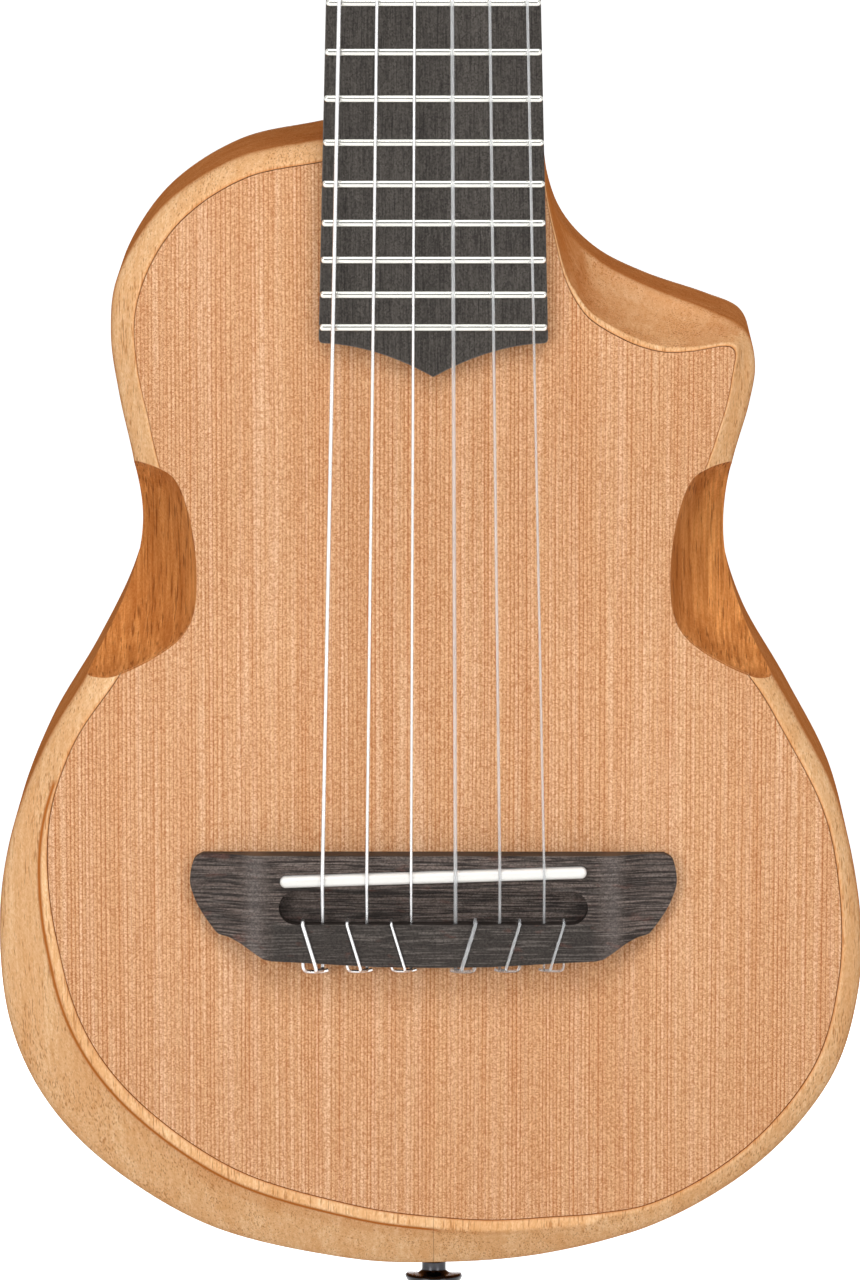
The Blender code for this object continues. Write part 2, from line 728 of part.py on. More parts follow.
def neck_shaft():
    """The heel swept up into the playing length and on under the nut into the head."""
    seat = BODY_TOP + GAP
    rings = []
    for share in (0, 0.12, 0.3, 0.5, 0.7, 0.88, 1.0):
        z = seat + HEEL_LENGTH * share
        depth = NECK_DEPTH + (HEEL_DEPTH - NECK_DEPTH) * (1 - share) ** 2.2 + 0.0015 * share
        half = board_half_width(z) - GAP
        roundness = 0.8 + 0.1 * share
        rings.append(neck_ring(half, depth, roundness, Matrix.Translation((0, FRONT, z))))
    for share in (0.5, 1.0):
        z = seat + HEEL_LENGTH + (NUT_Z - 0.006 - seat - HEEL_LENGTH) * share
        place = Matrix.Translation((0, FRONT, z))
        rings.append(neck_ring(board_half_width(z) - GAP, NECK_DEPTH, 0.9, place))
    rings.append(neck_ring(NUT_WIDTH / 2 - GAP, NECK_DEPTH, 0.85, Matrix.Translation((0, FRONT, HEAD_START))))
    into_head = HEAD @ Matrix.Translation((0, 0.0005, 0.007))
    rings.append(neck_ring(NUT_WIDTH / 2 - 0.001, NECK_DEPTH - 0.002, 0.8, into_head))
    return loft("neck", rings)


def head_outline():
    """The head seen from its face: shoulders, straight sides and a low rounded crown."""
    half = HEAD_WIDTH / 2
    root = NUT_WIDTH / 2
    right = through_points([(root, 0), (root + 0.0006, 0.005), (half - 0.0015, 0.0125), (half, 0.018)], 3)
    crown = through_points(
        [(half, HEAD_LENGTH - 0.016), (half - 0.005, HEAD_LENGTH - 0.008), (half * 0.45, HEAD_LENGTH - 0.002),
         (0, HEAD_LENGTH)], 3,
    )
    side = [tuple(p) for p in right] + [tuple(p) for p in crown]
    return side + [(-x, z) for x, z in reversed(side[:-1])]


def head_slots():
    inner = HEAD_RIB_WIDTH / 2
    slot = rounded_slot(inner, inner + HEAD_SLOT_WIDTH, HEAD_SLOT_START, HEAD_SLOT_END)
    return [slot, [(-x, z) for x, z in slot]]


def neck():
    """Heel, shaft, tenon and slotted head as one piece of wood."""
    shaft = add(neck_shaft(), neck_wood())
    facing = HEAD @ FACING
    head = plate("head_blank", head_outline(), -HEAD_THICKNESS, 0, facing, head_slots())
    join(shaft, add_cutter(head))
    join(shaft, add_cutter(boxes("tenon_blank", [tenon_span(0)])))
    places = []
    for side in (-1, 1):
        for post in POSTS:
            middle = (HEAD_WIDTH / 2 + ROLLER_INNER_END) / 2
            place = Matrix.Translation((side * middle, POST_DEPTH, post))
            places.append(HEAD @ place @ ALONG_X)
    length = HEAD_WIDTH / 2 - ROLLER_INNER_END + 2 * GAP
    bores = rods("roller_bore_cutter", places, ROLLER_DIAMETER / 2 + GAP, length, 14)
    cut(shaft, add_cutter(bores))


# Bridge and saddle

# Half of the bridge seen from the front: metres from the centre line and from the saddle line.
BRIDGE_EDGE = (
    (0.0606, 0.0055), (0.0629, 0.0038), (0.0640, -0.0011), (0.0633, -0.0050), (0.0612, -0.0096),
    (0.0575, -0.0149), (0.0560, -0.0160), (0.0536, -0.0166), (0.0505, -0.0181), (0.0468, -0.0206),
    (0.0446, -0.0220), (0.0425, -0.0225), (0.0360, -0.0228), (0.0150, -0.0240),
)
CHANNEL_MIDDLE = -0.0083
TIE_FACE = CHANNEL_MIDDLE - CHANNEL_WIDTH / 2
TIE_BACK = -0.0242


def bridge_outline():
    half = list(BRIDGE_EDGE) + [(0, TIE_BACK)]
    loop = half + [(-x, z) for x, z in reversed(half[:-1])]
    return [(x, SADDLE_Z + z) for x, z in loop]


def bridge_profile():
    """The bridge seen from the tail: a level middle that dips to thin wings."""
    reach = BRIDGE_EDGE[2][0] + 0.002
    dip = BRIDGE_HEIGHT - BRIDGE_WING_HEIGHT
    start = 0.045
    end = 0.0585
    half = [(0, BRIDGE_HEIGHT)]
    for share in np.linspace(0, 1, 6):
        fall = dip * (3 * share**2 - 2 * share**3)
        half.append((start + (end - start) * share, BRIDGE_HEIGHT - fall))
    half += [(reach, BRIDGE_WING_HEIGHT), (reach, GAP)]
    loop = half + [(-x, h) for x, h in reversed(half[1:])]
    return [(x, -FRONT + h) for x, h in loop]


def bridge():
    blank = plate(
        "bridge", bridge_outline(), -FRONT + GAP, -FRONT + BRIDGE_HEIGHT + 0.001, FACING,
    )
    piece = add(blank, dark_wood())
    frame = Matrix(((1, 0, 0, 0), (0, -1, 0, 0), (0, 0, 1, 0), (0, 0, 0, 1)))
    profile = plate("bridge_profile", bridge_profile(), SADDLE_Z - 0.03, SADDLE_Z + 0.012, frame)
    combine(piece, add_cutter(profile), "INTERSECT")
    middle = SADDLE_Z + CHANNEL_MIDDLE
    half = CHANNEL_WIDTH / 2
    slot = rounded_slot(middle - half, middle + half, -CHANNEL_LENGTH / 2, CHANNEL_LENGTH / 2)
    loop = [(x, z) for z, x in slot]
    channel = plate("channel_cutter", loop, -FRONT + CHANNEL_FLOOR, -FRONT + 0.02, FACING)
    cut(piece, add_cutter(channel))
    cut(piece, add_cutter(saddle_shape("saddle_slot_cutter", GAP, BRIDGE_HEIGHT + 0.004, ())))
    places = []
    run = TIE_FACE - TIE_BACK
    for index in range(6):
        for x in tie_holes(index):
            places.append(Matrix.Translation((x, FRONT - TIE_HOLE_HEIGHT, SADDLE_Z + TIE_BACK + run / 2)))
    holes = rods("tie_hole_cutter", places, TIE_HOLE_DIAMETER / 2, run + 0.003, 8)
    cut(piece, add_cutter(holes))


def saddle_line():
    """The frame of the saddle: X along it, Y up the body, tilted a little to suit the bass strings."""
    tilt = math.asin(SADDLE_TILT / SADDLE_LENGTH)
    return Matrix.Translation((0, 0, SADDLE_Z)) @ Matrix.Rotation(-tilt, 4, "Y") @ FACING


def saddle_shape(name, slack, height, crest):
    """A round-ended bar stood on edge, from the slot's floor up to a height above the top."""
    half = SADDLE_THICKNESS / 2 + slack
    reach = SADDLE_LENGTH / 2 + slack
    slot = rounded_slot(-half, half, -reach, reach, 7)
    loop = [(x, y) for y, x in slot]
    low = BRIDGE_HEIGHT - SADDLE_SLOT_DEPTH - slack
    rings = []
    for level, narrow in ((low, 0), (height, 0), *crest):
        ring = [(x * (1 - narrow / reach), y * (1 - narrow / half), -FRONT + level) for x, y in loop]
        rings.append([saddle_line() @ Vector(point) for point in ring])
    return loft(name, rings)


def saddle():
    crest = ((SADDLE_HEIGHT - 0.0004, 0.0003), (SADDLE_HEIGHT, 0.0009))
    add(saddle_shape("saddle", 0, SADDLE_HEIGHT - 0.001, crest), bone())


# Strings


def string_x(index, spread):
    return spread * (index / 5 - 0.5)


def string_side(index):
    return -1 if index < 3 else 1


def tie_holes(index):
    """The hole that the string goes down through, and the one that its end comes back through."""
    x = string_x(index, SADDLE_STRING_SPREAD)
    return (x, x + string_side(index) * TIE_HOLE_SPACING)


def tie_route(index, radius):
    """From the end of the knot back through the tie block, round it and out to the channel."""
    first, second = tie_holes(index)
    side = string_side(index)
    hole = TIE_HOLE_HEIGHT
    lip = TIE_HOLE_DIAMETER / 2
    wrap = (radius + STRING_CLEARANCE) * 1.08
    tail = TIE_BACK - lip - radius
    route = [
        (first - side * 0.0014, 0.0018, tail),
        (first + side * 0.0006, 0.0020, tail - 0.0004),
        (second - side * 0.0012, 0.0034, tail - 0.0002),
        (second - side * 0.0003, 0.0046, TIE_BACK - lip),
        (second, hole, TIE_BACK),
        (second, hole, TIE_FACE),
    ]
    route += [(second, h, z) for z, h in arc((TIE_FACE, hole + lip), lip, -45, 0, 2)]
    route += [(second, h, z) for z, h in arc((TIE_FACE, BRIDGE_HEIGHT), wrap, 0, 90, 3)]
    lean = first + side * TIE_LEAN
    route += [(lean, h, z) for z, h in arc((TIE_BACK, BRIDGE_HEIGHT), wrap, 90, 180, 3)]
    route += [(first, h, z) for z, h in arc((TIE_BACK, hole + lip), lip, 180, 270, 3)]
    route.append((first, hole, TIE_FACE))
    return [(x, FRONT - height, SADDLE_Z + z) for x, height, z in route]


def saddle_point(index, radius):
    x = string_x(index, SADDLE_STRING_SPREAD)
    z = SADDLE_Z + SADDLE_TILT * x / SADDLE_LENGTH
    return Vector((x, FRONT - SADDLE_HEIGHT - radius - STRING_CLEARANCE, z))


def nut_point(index, radius):
    x = string_x(index, NUT_STRING_SPREAD)
    height = NUT_SLOT_HEIGHT + radius + STRING_CLEARANCE
    return Vector((x, FRONT - height, NUT_Z + NUT_THICKNESS / 2))


def winding(index, diameter, arrival):
    """The string from where it meets its roller and round it, turn beside turn, in the head's frame."""
    place = index if index < 3 else 5 - index
    post = POSTS[place]
    side = string_side(index)
    radius = ROLLER_WAIST_DIAMETER / 2 + GAP + diameter / 2
    span = Vector((arrival.y - POST_DEPTH, arrival.z - post))
    bearing = math.atan2(span.y, span.x)
    start = bearing - math.acos(radius / span.length)
    inward = -1 if place == 0 else 1
    pitch = (diameter + WINDING_SPACE) * inward
    points = []
    for step in range(24 * WINDING_TURNS + 1):
        angle = start - step * math.tau / 24
        x = side * (WINDING_STARTS[place] + pitch * step / 24)
        points.append(Vector((x, POST_DEPTH + radius * math.cos(angle), post + radius * math.sin(angle))))
    return points


def least_gap(points, diameter):
    """The least space between turns of a winding that lie beside each other."""
    row = np.array(points)
    least = 1.0
    for i in range(len(row) - 13):
        least = min(least, np.linalg.norm(row[i + 13:] - row[i], axis=1).min() - diameter)
    return least


def string(index):
    """One string, whole: knot, saddle, playing length, nut and winding."""
    diameter = STRING_DIAMETERS[index]
    radius = diameter / 2
    tie = [Vector(point) for point in tie_route(index, radius)]
    saddle_crest = saddle_point(index, radius)
    lead_in = saddle_crest + Vector((0, 0.0002, -0.0018))
    crest = nut_point(index, radius)
    leave = crest + Vector((0, 0.0004, NUT_THICKNESS / 2 + 0.0008))
    turns = winding(index, diameter, HEAD.inverted() @ leave)
    print(f"string {STRING_NAMES[index]}: least gap between turns {1000 * least_gap(turns, diameter):.2f} mm")
    route = tie + [lead_in, saddle_crest, crest, leave] + [HEAD @ point for point in turns]
    curve = bpy.data.curves.new(f"string_{STRING_NAMES[index]}", "CURVE")
    curve.dimensions = "3D"
    curve.bevel_depth = radius
    curve.bevel_resolution = 1
    curve.use_fill_caps = True
    spline = curve.splines.new("POLY")
    spline.points.add(len(route) - 1)
    for point, place in zip(spline.points, route):
        point.co = (*place, 1)
    material = wound_string() if index < 3 else nylon_string()
    add(bpy.data.objects.new(curve.name, curve), material)


# Tuning machines


def flank_half(thickness_share, radius_step):
    """Half a tooth's thickness at a height above its pitch line."""
    return AXIAL_PITCH * thickness_share / 2 - radius_step * math.tan(math.radians(FLANK_ANGLE))


def wheel_outline(turn):
    """The worm wheel's teeth, turned by an angle, with the middle of a gap at angle nought."""
    outline = []
    for tooth in range(WHEEL_TEETH):
        middle = math.tau * (tooth + 0.5) / WHEEL_TEETH + turn
        for radius, side in ((WHEEL_ROOT_RADIUS, -1), (WHEEL_TIP_RADIUS, -1), (WHEEL_TIP_RADIUS, 1),
                             (WHEEL_ROOT_RADIUS, 1)):
            half = flank_half(TOOTH_SHARE, radius - WHEEL_PITCH_RADIUS)
            angle = middle + side * half / radius
            outline.append((radius * math.cos(angle), radius * math.sin(angle)))
    return outline


def wheel_teeth():
    """The toothed disc, its teeth slanted to follow the worm's thread."""
    lead = AXIAL_PITCH / (math.tau * WORM_PITCH_RADIUS)
    rings = []
    for z in (-WHEEL_THICKNESS / 2, WHEEL_THICKNESS / 2):
        turn = lead * z / WHEEL_PITCH_RADIUS
        rings.append([(x, y, WHEEL_MIDDLE + z) for x, y in wheel_outline(turn)])
    return loft("wheel_teeth", rings)


def roller_profile():
    """The roller's turned outline, from the cap that holds its wheel down to its inner end."""
    neck_radius = ROLLER_NECK_DIAMETER / 2
    full = ROLLER_DIAMETER / 2
    waist = ROLLER_WAIST_DIAMETER / 2
    slot_inner = HEAD_RIB_WIDTH / 2
    slot_outer = slot_inner + HEAD_SLOT_WIDTH
    wheel_end = WHEEL_START + WHEEL_THICKNESS
    return (
        (0, wheel_end + 0.0012), (0.0026, wheel_end + 0.0009), (0.0032, wheel_end - 0.0005),
        (neck_radius, wheel_end - 0.0005),
        (neck_radius, PLATE_INNER - GAP), (full, PLATE_INNER - GAP),
        (full, slot_outer - 0.0005), (waist, slot_outer - 0.0010), (waist, slot_inner + 0.0010),
        (full, slot_inner + 0.0005), (full, ROLLER_INNER_END), (0, ROLLER_INNER_END),
    )


def worm_thread():
    """The worm's single thread, a trapezium swept up a right-handed helix."""
    root = WORM_SHAFT_RADIUS - 0.0003
    turns = (WORM_LENGTH - 0.0018) / AXIAL_PITCH
    rings = []
    steps = round(9 * turns)
    for step in range(steps + 1):
        angle = (step - steps / 2) * math.tau / 9
        height = AXIAL_PITCH * angle / math.tau
        ring = []
        for radius, side in ((root, -1), (WORM_OUTER_RADIUS, -1), (WORM_OUTER_RADIUS, 1), (root, 1)):
            half = flank_half(TOOTH_SHARE, radius - WORM_PITCH_RADIUS)
            around = angle - math.pi / 2
            ring.append((radius * math.cos(around), radius * math.sin(around), height + side * half))
        rings.append(ring)
    return loft("worm_thread", rings)


def lug_outline():
    """A lug seen along the worm's shaft: a tab off the plate with a round end."""
    centre = (WHEEL_MIDDLE, 0)
    end = arc(centre, LUG_REACH, -90, 90, 6)
    root = PLATE_OUTER - 0.0003
    return end + [(root, LUG_REACH), (root, -LUG_REACH)]


def tuner_plate(name, side):
    """One plate for three machines, with two bored lugs for each worm."""
    half = TUNER_PLATE_WIDTH / 2
    low = POSTS[0] - TUNER_PLATE_END - WORM_OFFSET / 2
    high = POSTS[-1] + TUNER_PLATE_END - WORM_OFFSET / 2
    outline = rounded_slot(-half, half, low, high, 7)
    holes = [arc((0, post), ROLLER_NECK_DIAMETER / 2 + GAP, 0, 324, 10) for post in POSTS]
    frame = HEAD @ Matrix.Translation((0, POST_DEPTH, 0)) @ side_frame(side)
    piece = add(plate(name, outline, PLATE_INNER, PLATE_OUTER, frame, holes), bright_metal())
    bore = arc((WHEEL_MIDDLE, 0), WORM_SHAFT_RADIUS + GAP, 0, 315, 8)
    half = LUG_THICKNESS / 2
    lugs = []
    for post in POSTS:
        for at in (POST_DEPTH - LUG_OFFSET, POST_DEPTH + LUG_OFFSET):
            place = HEAD @ Matrix.Translation((0, at, post - WORM_OFFSET)) @ lug_frame(side)
            lugs.append(plate("lug", lug_outline(), -half, half, place, [bore]))
    join(piece, add_cutter(gathered(f"{name}_lugs", lugs)))


def side_frame(side):
    """Local X into the wood, Y up the head, Z outwards to this side."""
    return Matrix(((0, 0, side, 0), (-side, 0, 0, 0), (0, 1, 0, 0), (0, 0, 0, 1)))


def lug_frame(side):
    """Local X outwards to this side, Z along the worm's shaft."""
    return Matrix(((side, 0, 0, 0), (0, 0, 1, 0), (0, -side, 0, 0), (0, 0, 0, 1)))


def roller_frame(side, post):
    """Local Z outwards to this side along the roller, X towards the nut and its worm."""
    turned_to = Matrix(((0, 0, side, 0), (0, side, 0, 0), (-1, 0, 0, 0), (0, 0, 0, 1)))
    return HEAD @ Matrix.Translation((0, POST_DEPTH, post)) @ turned_to


def worm_frame(side, post):
    """Local Z back along the worm's shaft, at the middle of the worm."""
    place = Matrix.Translation((side * WHEEL_MIDDLE, POST_DEPTH, post - WORM_OFFSET))
    return HEAD @ place @ ALONG_Y


def knob_rings():
    """The knob's oval sections, from its collar out to its rounded end."""
    rings = []
    start = HEAD_THICKNESS - POST_DEPTH + KNOB_CLEARANCE
    for along, wide, thick in ((0, 0.36, 0.80), (0.14, 0.42, 0.88), (0.4, 0.94, 1.0), (0.66, 1.0, 0.92),
                               (0.88, 0.78, 0.72), (1.0, 0.40, 0.40)):
        ring = []
        for angle in np.arange(12) * math.tau / 12:
            x = KNOB_THICKNESS / 2 * thick * math.cos(angle)
            y = KNOB_WIDTH / 2 * wide * math.sin(angle)
            ring.append((x, y, start + KNOB_LENGTH * along))
        rings.append(ring)
    return rings


def tuning_machine(index, wheel, thread):
    """Roller with its wheel, worm on its shaft, and knob, for one string."""
    name = STRING_NAMES[index]
    side = string_side(index)
    post = POSTS[index if index < 3 else 5 - index]
    roller = add(turned(f"tuner_roller_{name}", roller_profile(), 12), brass())
    roller.matrix_world = roller_frame(side, post)
    teeth = add_cutter(bpy.data.objects.new(f"wheel_teeth_{name}", wheel))
    teeth.matrix_world = roller.matrix_world
    join(roller, teeth)
    slot_middle = (HEAD_RIB_WIDTH + HEAD_SLOT_WIDTH) / 2
    hole = rods(f"string_hole_{name}", [Matrix.Translation((0, 0, slot_middle)) @ ALONG_X], 0.0009, 0.02, 8)
    add_cutter(hole).matrix_world = roller.matrix_world
    cut(roller, hole)

    axis = bpy.data.objects.new(f"worm_axis_{name}", None)
    parts.objects.link(axis)
    axis.matrix_world = worm_frame(side, post)
    shaft_low = -(LUG_OFFSET + LUG_THICKNESS)
    shaft_high = HEAD_THICKNESS - POST_DEPTH + KNOB_CLEARANCE + 0.006
    shaft = ((0, shaft_high), (WORM_SHAFT_RADIUS, shaft_high), (WORM_SHAFT_RADIUS, shaft_low), (0, shaft_low))
    worm = add(turned(f"tuner_worm_{name}", shaft, 8), bright_metal())
    worm.parent = axis
    winding_thread = add_cutter(bpy.data.objects.new(f"worm_thread_{name}", thread))
    winding_thread.parent = axis
    join(worm, winding_thread)

    knob = add(loft(f"tuner_knob_{name}", knob_rings()), knob_plastic())
    knob.parent = axis
    depth = 0.006 + GAP
    start = shaft_high - 0.006
    bore_place = Matrix.Translation((0, 0, start + depth / 2 - 0.001))
    bore = rods(f"knob_bore_{name}", [bore_place], WORM_SHAFT_RADIUS + GAP, depth + 0.002, 10)
    add_cutter(bore).parent = axis
    cut(knob, bore)


def tuning_machines():
    tuner_plate("tuner_plate_bass", -1)
    tuner_plate("tuner_plate_treble", 1)
    wheel = wheel_teeth()
    thread = worm_thread()
    for index in range(6):
        tuning_machine(index, wheel.data, thread.data)
    bpy.data.objects.remove(wheel)
    bpy.data.objects.remove(thread)


# Strap button


def strap_button():
    """The turned button at the tail and the screw that holds it to the seam."""
    seat = BODY_BOTTOM - GAP
    flange_top = BUTTON_BOSS_HEIGHT + BUTTON_FLANGE_THICKNESS
    flange = BUTTON_FLANGE_DIAMETER / 2
    waist = BUTTON_WAIST_DIAMETER / 2
    bore = SCREW_SHANK_DIAMETER / 2 + GAP
    sink = SCREW_HEAD_DIAMETER / 2 + GAP
    boss = BUTTON_BOSS_DIAMETER / 2
    profile = (
        (bore, seat), (BUTTON_BASE_DIAMETER / 2, seat), (BUTTON_BASE_DIAMETER / 2, seat - 0.0008),
        (waist, seat - 0.0030), (waist, flange_top + 0.0008),
        (waist + 0.0010, flange_top), (flange - 0.0005, flange_top), (flange, flange_top - 0.0006),
        (flange - 0.0006, BUTTON_BOSS_HEIGHT), (boss, BUTTON_BOSS_HEIGHT),
        (boss, 0.0005), (boss - 0.0005, 0), (sink, 0), (sink, 0.0004), (bore, SCREW_HEAD_HEIGHT + GAP),
        (bore, seat),
    )
    add(turned("strap_button", profile, 18), black_metal())
    shank = SCREW_SHANK_DIAMETER / 2
    head = SCREW_HEAD_DIAMETER / 2
    tip = BODY_BOTTOM + SCREW_DEPTH - 0.001
    screw = (
        (0, tip), (shank, tip - 0.003), (shank, SCREW_HEAD_HEIGHT), (head, 0.0002), (head, 0), (0, 0),
    )
    add(turned("strap_button_screw", screw, 12), black_metal())


body()
fretboard()
for fret_number in range(1, FRET_COUNT + 1):
    fret(fret_number)
nut()
neck()
bridge()
saddle()
for string_index in range(6):
    string(string_index)
tuning_machines()
strap_button()
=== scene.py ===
"""Guitalele: a small guitar with a carved rim, a flush cedar top and a slotted head.

Metres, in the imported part's frame: +Z up the neck, +X to the treble side, the top facing -Y.
"""

import functools
import math

import bmesh
import bpy
import numpy as np
from mathutils import Matrix, Vector


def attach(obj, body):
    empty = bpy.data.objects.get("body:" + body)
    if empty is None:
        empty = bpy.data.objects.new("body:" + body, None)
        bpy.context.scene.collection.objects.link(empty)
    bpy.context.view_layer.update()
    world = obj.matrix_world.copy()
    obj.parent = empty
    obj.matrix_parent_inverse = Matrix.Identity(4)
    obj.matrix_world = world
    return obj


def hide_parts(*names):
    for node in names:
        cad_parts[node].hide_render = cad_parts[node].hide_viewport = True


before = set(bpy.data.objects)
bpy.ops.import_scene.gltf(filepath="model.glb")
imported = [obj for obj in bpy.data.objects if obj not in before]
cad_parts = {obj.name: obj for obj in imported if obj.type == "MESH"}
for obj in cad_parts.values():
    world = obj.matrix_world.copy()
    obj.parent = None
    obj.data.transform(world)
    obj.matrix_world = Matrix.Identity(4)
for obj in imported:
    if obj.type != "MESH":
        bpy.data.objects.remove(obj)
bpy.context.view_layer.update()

# Rim. The body's sides are two thick halves of pale golden hardwood, bandsawn and hollowed, then
# joined on the centre seam. The face is left narrow at the treble side and carved away for the
# arm below the bass waist and in the cutaway; a scoop is cut by hand into each side of the waist.

GAP = 0.0003
FRONT = -0.035
BACK = 0.035
BACK_THICKNESS = 0.003
TOP_THICKNESS = 0.0025
RIM_BACK = BACK - BACK_THICKNESS - GAP
LEDGE = FRONT + TOP_THICKNESS + GAP
BODY_BOTTOM = 0.0105
BODY_TOP = 0.3105
HUB = (0.0, 0.1629)
RIM_STATIONS = 230
BEVEL_POINTS = 10
SHOULDER_EASE = 0.0007
EDGE_EASE = 0.0028
GROOVE_DROP = 0.0015
GROOVE_WIDTH = 0.0012
SCOOP_DEPTH = 0.028
TURN_CROWDING = 0.012
SEAM = 0.00008

# The body drawing: millimetres from the centre line and above the tail.
OUTLINE = (
    (-30, 300), (-51.7, 295.1), (-70.6, 282.8), (-82.4, 265), (-84.7, 249), (-82.5, 232.5),
    (-78.6, 214.3), (-76.9, 196.7), (-80.6, 180.4), (-90.3, 160.5), (-102.6, 139.4), (-111.5, 115.9),
    (-114.9, 91), (-112.3, 64.3), (-102.2, 42.3), (-84.3, 24.1), (-58, 8.9), (-25, 1.2),
    (0, 0), (29.9, 3.2), (61, 12.9), (86.9, 29.2), (104.7, 50.4), (112, 73), (112.6, 96),
    (106.6, 125.3), (94.6, 149.5), (82.4, 171), (76.8, 191), (77.8, 211.6), (82.8, 230.1),
    (84.4, 241), (81.6, 249.6), (72, 254), (56.9, 259.1), (43.9, 265.5), (34.7, 274.7),
    (30.2, 285.7), (28.6, 300),
)
SCOOP_EDGE = (
    (91, 158), (84, 158.9), (74.5, 163.2), (66.5, 169), (62.8, 176), (62.1, 186),
    (62.9, 195.5), (64.8, 204.2), (67.6, 210.8), (71.5, 213.8), (77.4, 215.8),
    (88, 219), (104, 214), (110, 190), (104, 166),
)
SCOOP_MIDDLE = (90, 187)

# Widths along the rim, by bearing round the hub: 0 is treble, 90 the neck, 180 bass, 270 the tail.
# The face between the outer edge and the top.
RIM_FACE = (
    (3.5, 0.0055), (20, 0.0085), (38, 0.0115), (44, 0.0118), (47.5, 0.0088), (50, 0.0050),
    (53.8, 0.0104), (58, 0.0132), (66.7, 0.0122), (70, 0.0108), (73, 0.0080), (76, 0.0032),
    (78.5, 0.0022), (82, 0.0050), (98, 0.0054), (108, 0.0053), (116, 0.0058), (123, 0.0072),
    (128.5, 0.0094), (134, 0.0117), (140, 0.0108), (158, 0.0085), (176, 0.0080), (184, 0.0075),
    (190, 0.0081), (197, 0.0102), (208.5, 0.0160), (217, 0.0198), (229, 0.0210), (242, 0.0202),
    (255, 0.0183), (265, 0.0164), (275, 0.0134), (282, 0.0115), (288, 0.0088), (295, 0.0064),
    (312, 0.0063), (328, 0.0065), (341, 0.0050), (350, 0.0058),
)
# The flat step of that face, next to the top, before the bevel falls away.
RIM_STEP = (
    (0, 0.0010), (48, 0.0009), (54, 0.0013), (72, 0.0013), (77, 0.0009), (182, 0.0010),
    (190, 0.0006), (193, 0.0005), (196, 0.0008), (200, 0.0014), (207, 0.0021), (215, 0.0027),
    (230, 0.0029), (283, 0.0028), (292, 0.0010),
)
# How far the bevel falls back by the outer edge, and how hollow it is: 1 is straight, 2 a cove.
RIM_DROP = (
    (0, 0.005), (40, 0.006), (47, 0.007), (50, 0.010), (54, 0.018), (60, 0.026), (70, 0.033),
    (73, 0.030), (76, 0.018), (79, 0.005), (81, 0.0006), (99, 0.0006), (102, 0.005),
    (134, 0.006), (158, 0.005), (183, 0.006), (195, 0.009), (208, 0.013), (229, 0.016),
    (262, 0.015), (276, 0.012), (288, 0.007), (296, 0.005), (330, 0.005),
)
RIM_HOLLOW = ((0, 0.9), (46, 0.9), (54, 1.5), (62, 1.7), (73, 1.7), (79, 1.0), (185, 0.9), (300, 0.9))
# The little groove that sets the arm bevel off from the step.
RIM_GROOVE = ((187, 0.0), (195, 1.0), (276, 1.0), (291, 0.0))
# The wood between the outer edge and the chamber.
RIM_WALL = (
    (3.5, 0.021), (9, 0.025), (40, 0.025), (44, 0.021), (48, 0.017), (54, 0.019), (60, 0.021),
    (70, 0.021), (76, 0.026), (80, 0.030), (100, 0.030), (104, 0.020), (109, 0.014),
    (122, 0.015), (130, 0.018), (136, 0.023), (140, 0.026), (172, 0.026), (178, 0.021),
    (186, 0.016), (197, 0.018), (208, 0.024), (229, 0.029), (255, 0.026), (275, 0.022),
    (288, 0.017), (298, 0.014), (330, 0.014), (350, 0.014),
)


class Nodes:
    """A tree of shader nodes, and the few kinds that every finish here is made of."""

    def __init__(self, tree):
        self.tree = tree

    def feed(self, node, values):
        """Sets a node's inputs, or links them to other nodes' outputs."""
        for key, value in values.items():
            if isinstance(value, bpy.types.NodeSocket):
                self.tree.links.new(value, node.inputs[key])
            else:
                node.inputs[key].default_value = value

    def put(self, kind, values=(), **settings):
        """The outputs of a new node."""
        node = self.tree.nodes.new("ShaderNode" + kind)
        for key, value in settings.items():
            setattr(node, key, value)
        self.feed(node, dict(values))
        return node.outputs

    def maths(self, operation, first, second=0.0):
        return self.put("Math", {0: first, 1: second}, operation=operation)[0]

    def times(self, first, second):
        return self.maths("MULTIPLY", first, second)

    def ramp(self, value, low, high, to_low=0.0, to_high=1.0):
        """A value taken from one range to another, held at both ends."""
        values = {"Value": value, "From Min": low, "From Max": high, "To Min": to_low, "To Max": to_high}
        return self.put("MapRange", values)["Result"]

    def stretched(self, place, scale, turn=(0, 0, 0)):
        return self.put("Mapping", {"Vector": place, "Scale": scale, "Rotation": turn})[0]

    def cloud(self, place, scale, detail=2.0, roughness=0.5, distortion=0.0):
        """Soft random patches between 0 and 1. Three scales in place of one draw them out."""
        if isinstance(scale, tuple):
            place, scale = self.stretched(place, scale), 1.0
        return self.put("TexNoise", {"Vector": place, "Scale": scale, "Detail": detail, "Roughness": roughness,
                                     "Distortion": distortion})["Fac"]

    def patches(self, place, scale, low, high, *softness):
        return self.ramp(self.cloud(place, scale, *softness), low, high)

    def tint(self, share, first, second, blend="MIX"):
        """One colour laid over another by a share."""
        first, second = (c if isinstance(c, bpy.types.NodeSocket) else (*c, 1) for c in (first, second))
        return self.put("Mix", {0: share, 6: first, 7: second}, data_type="RGBA", blend_type=blend)[2]


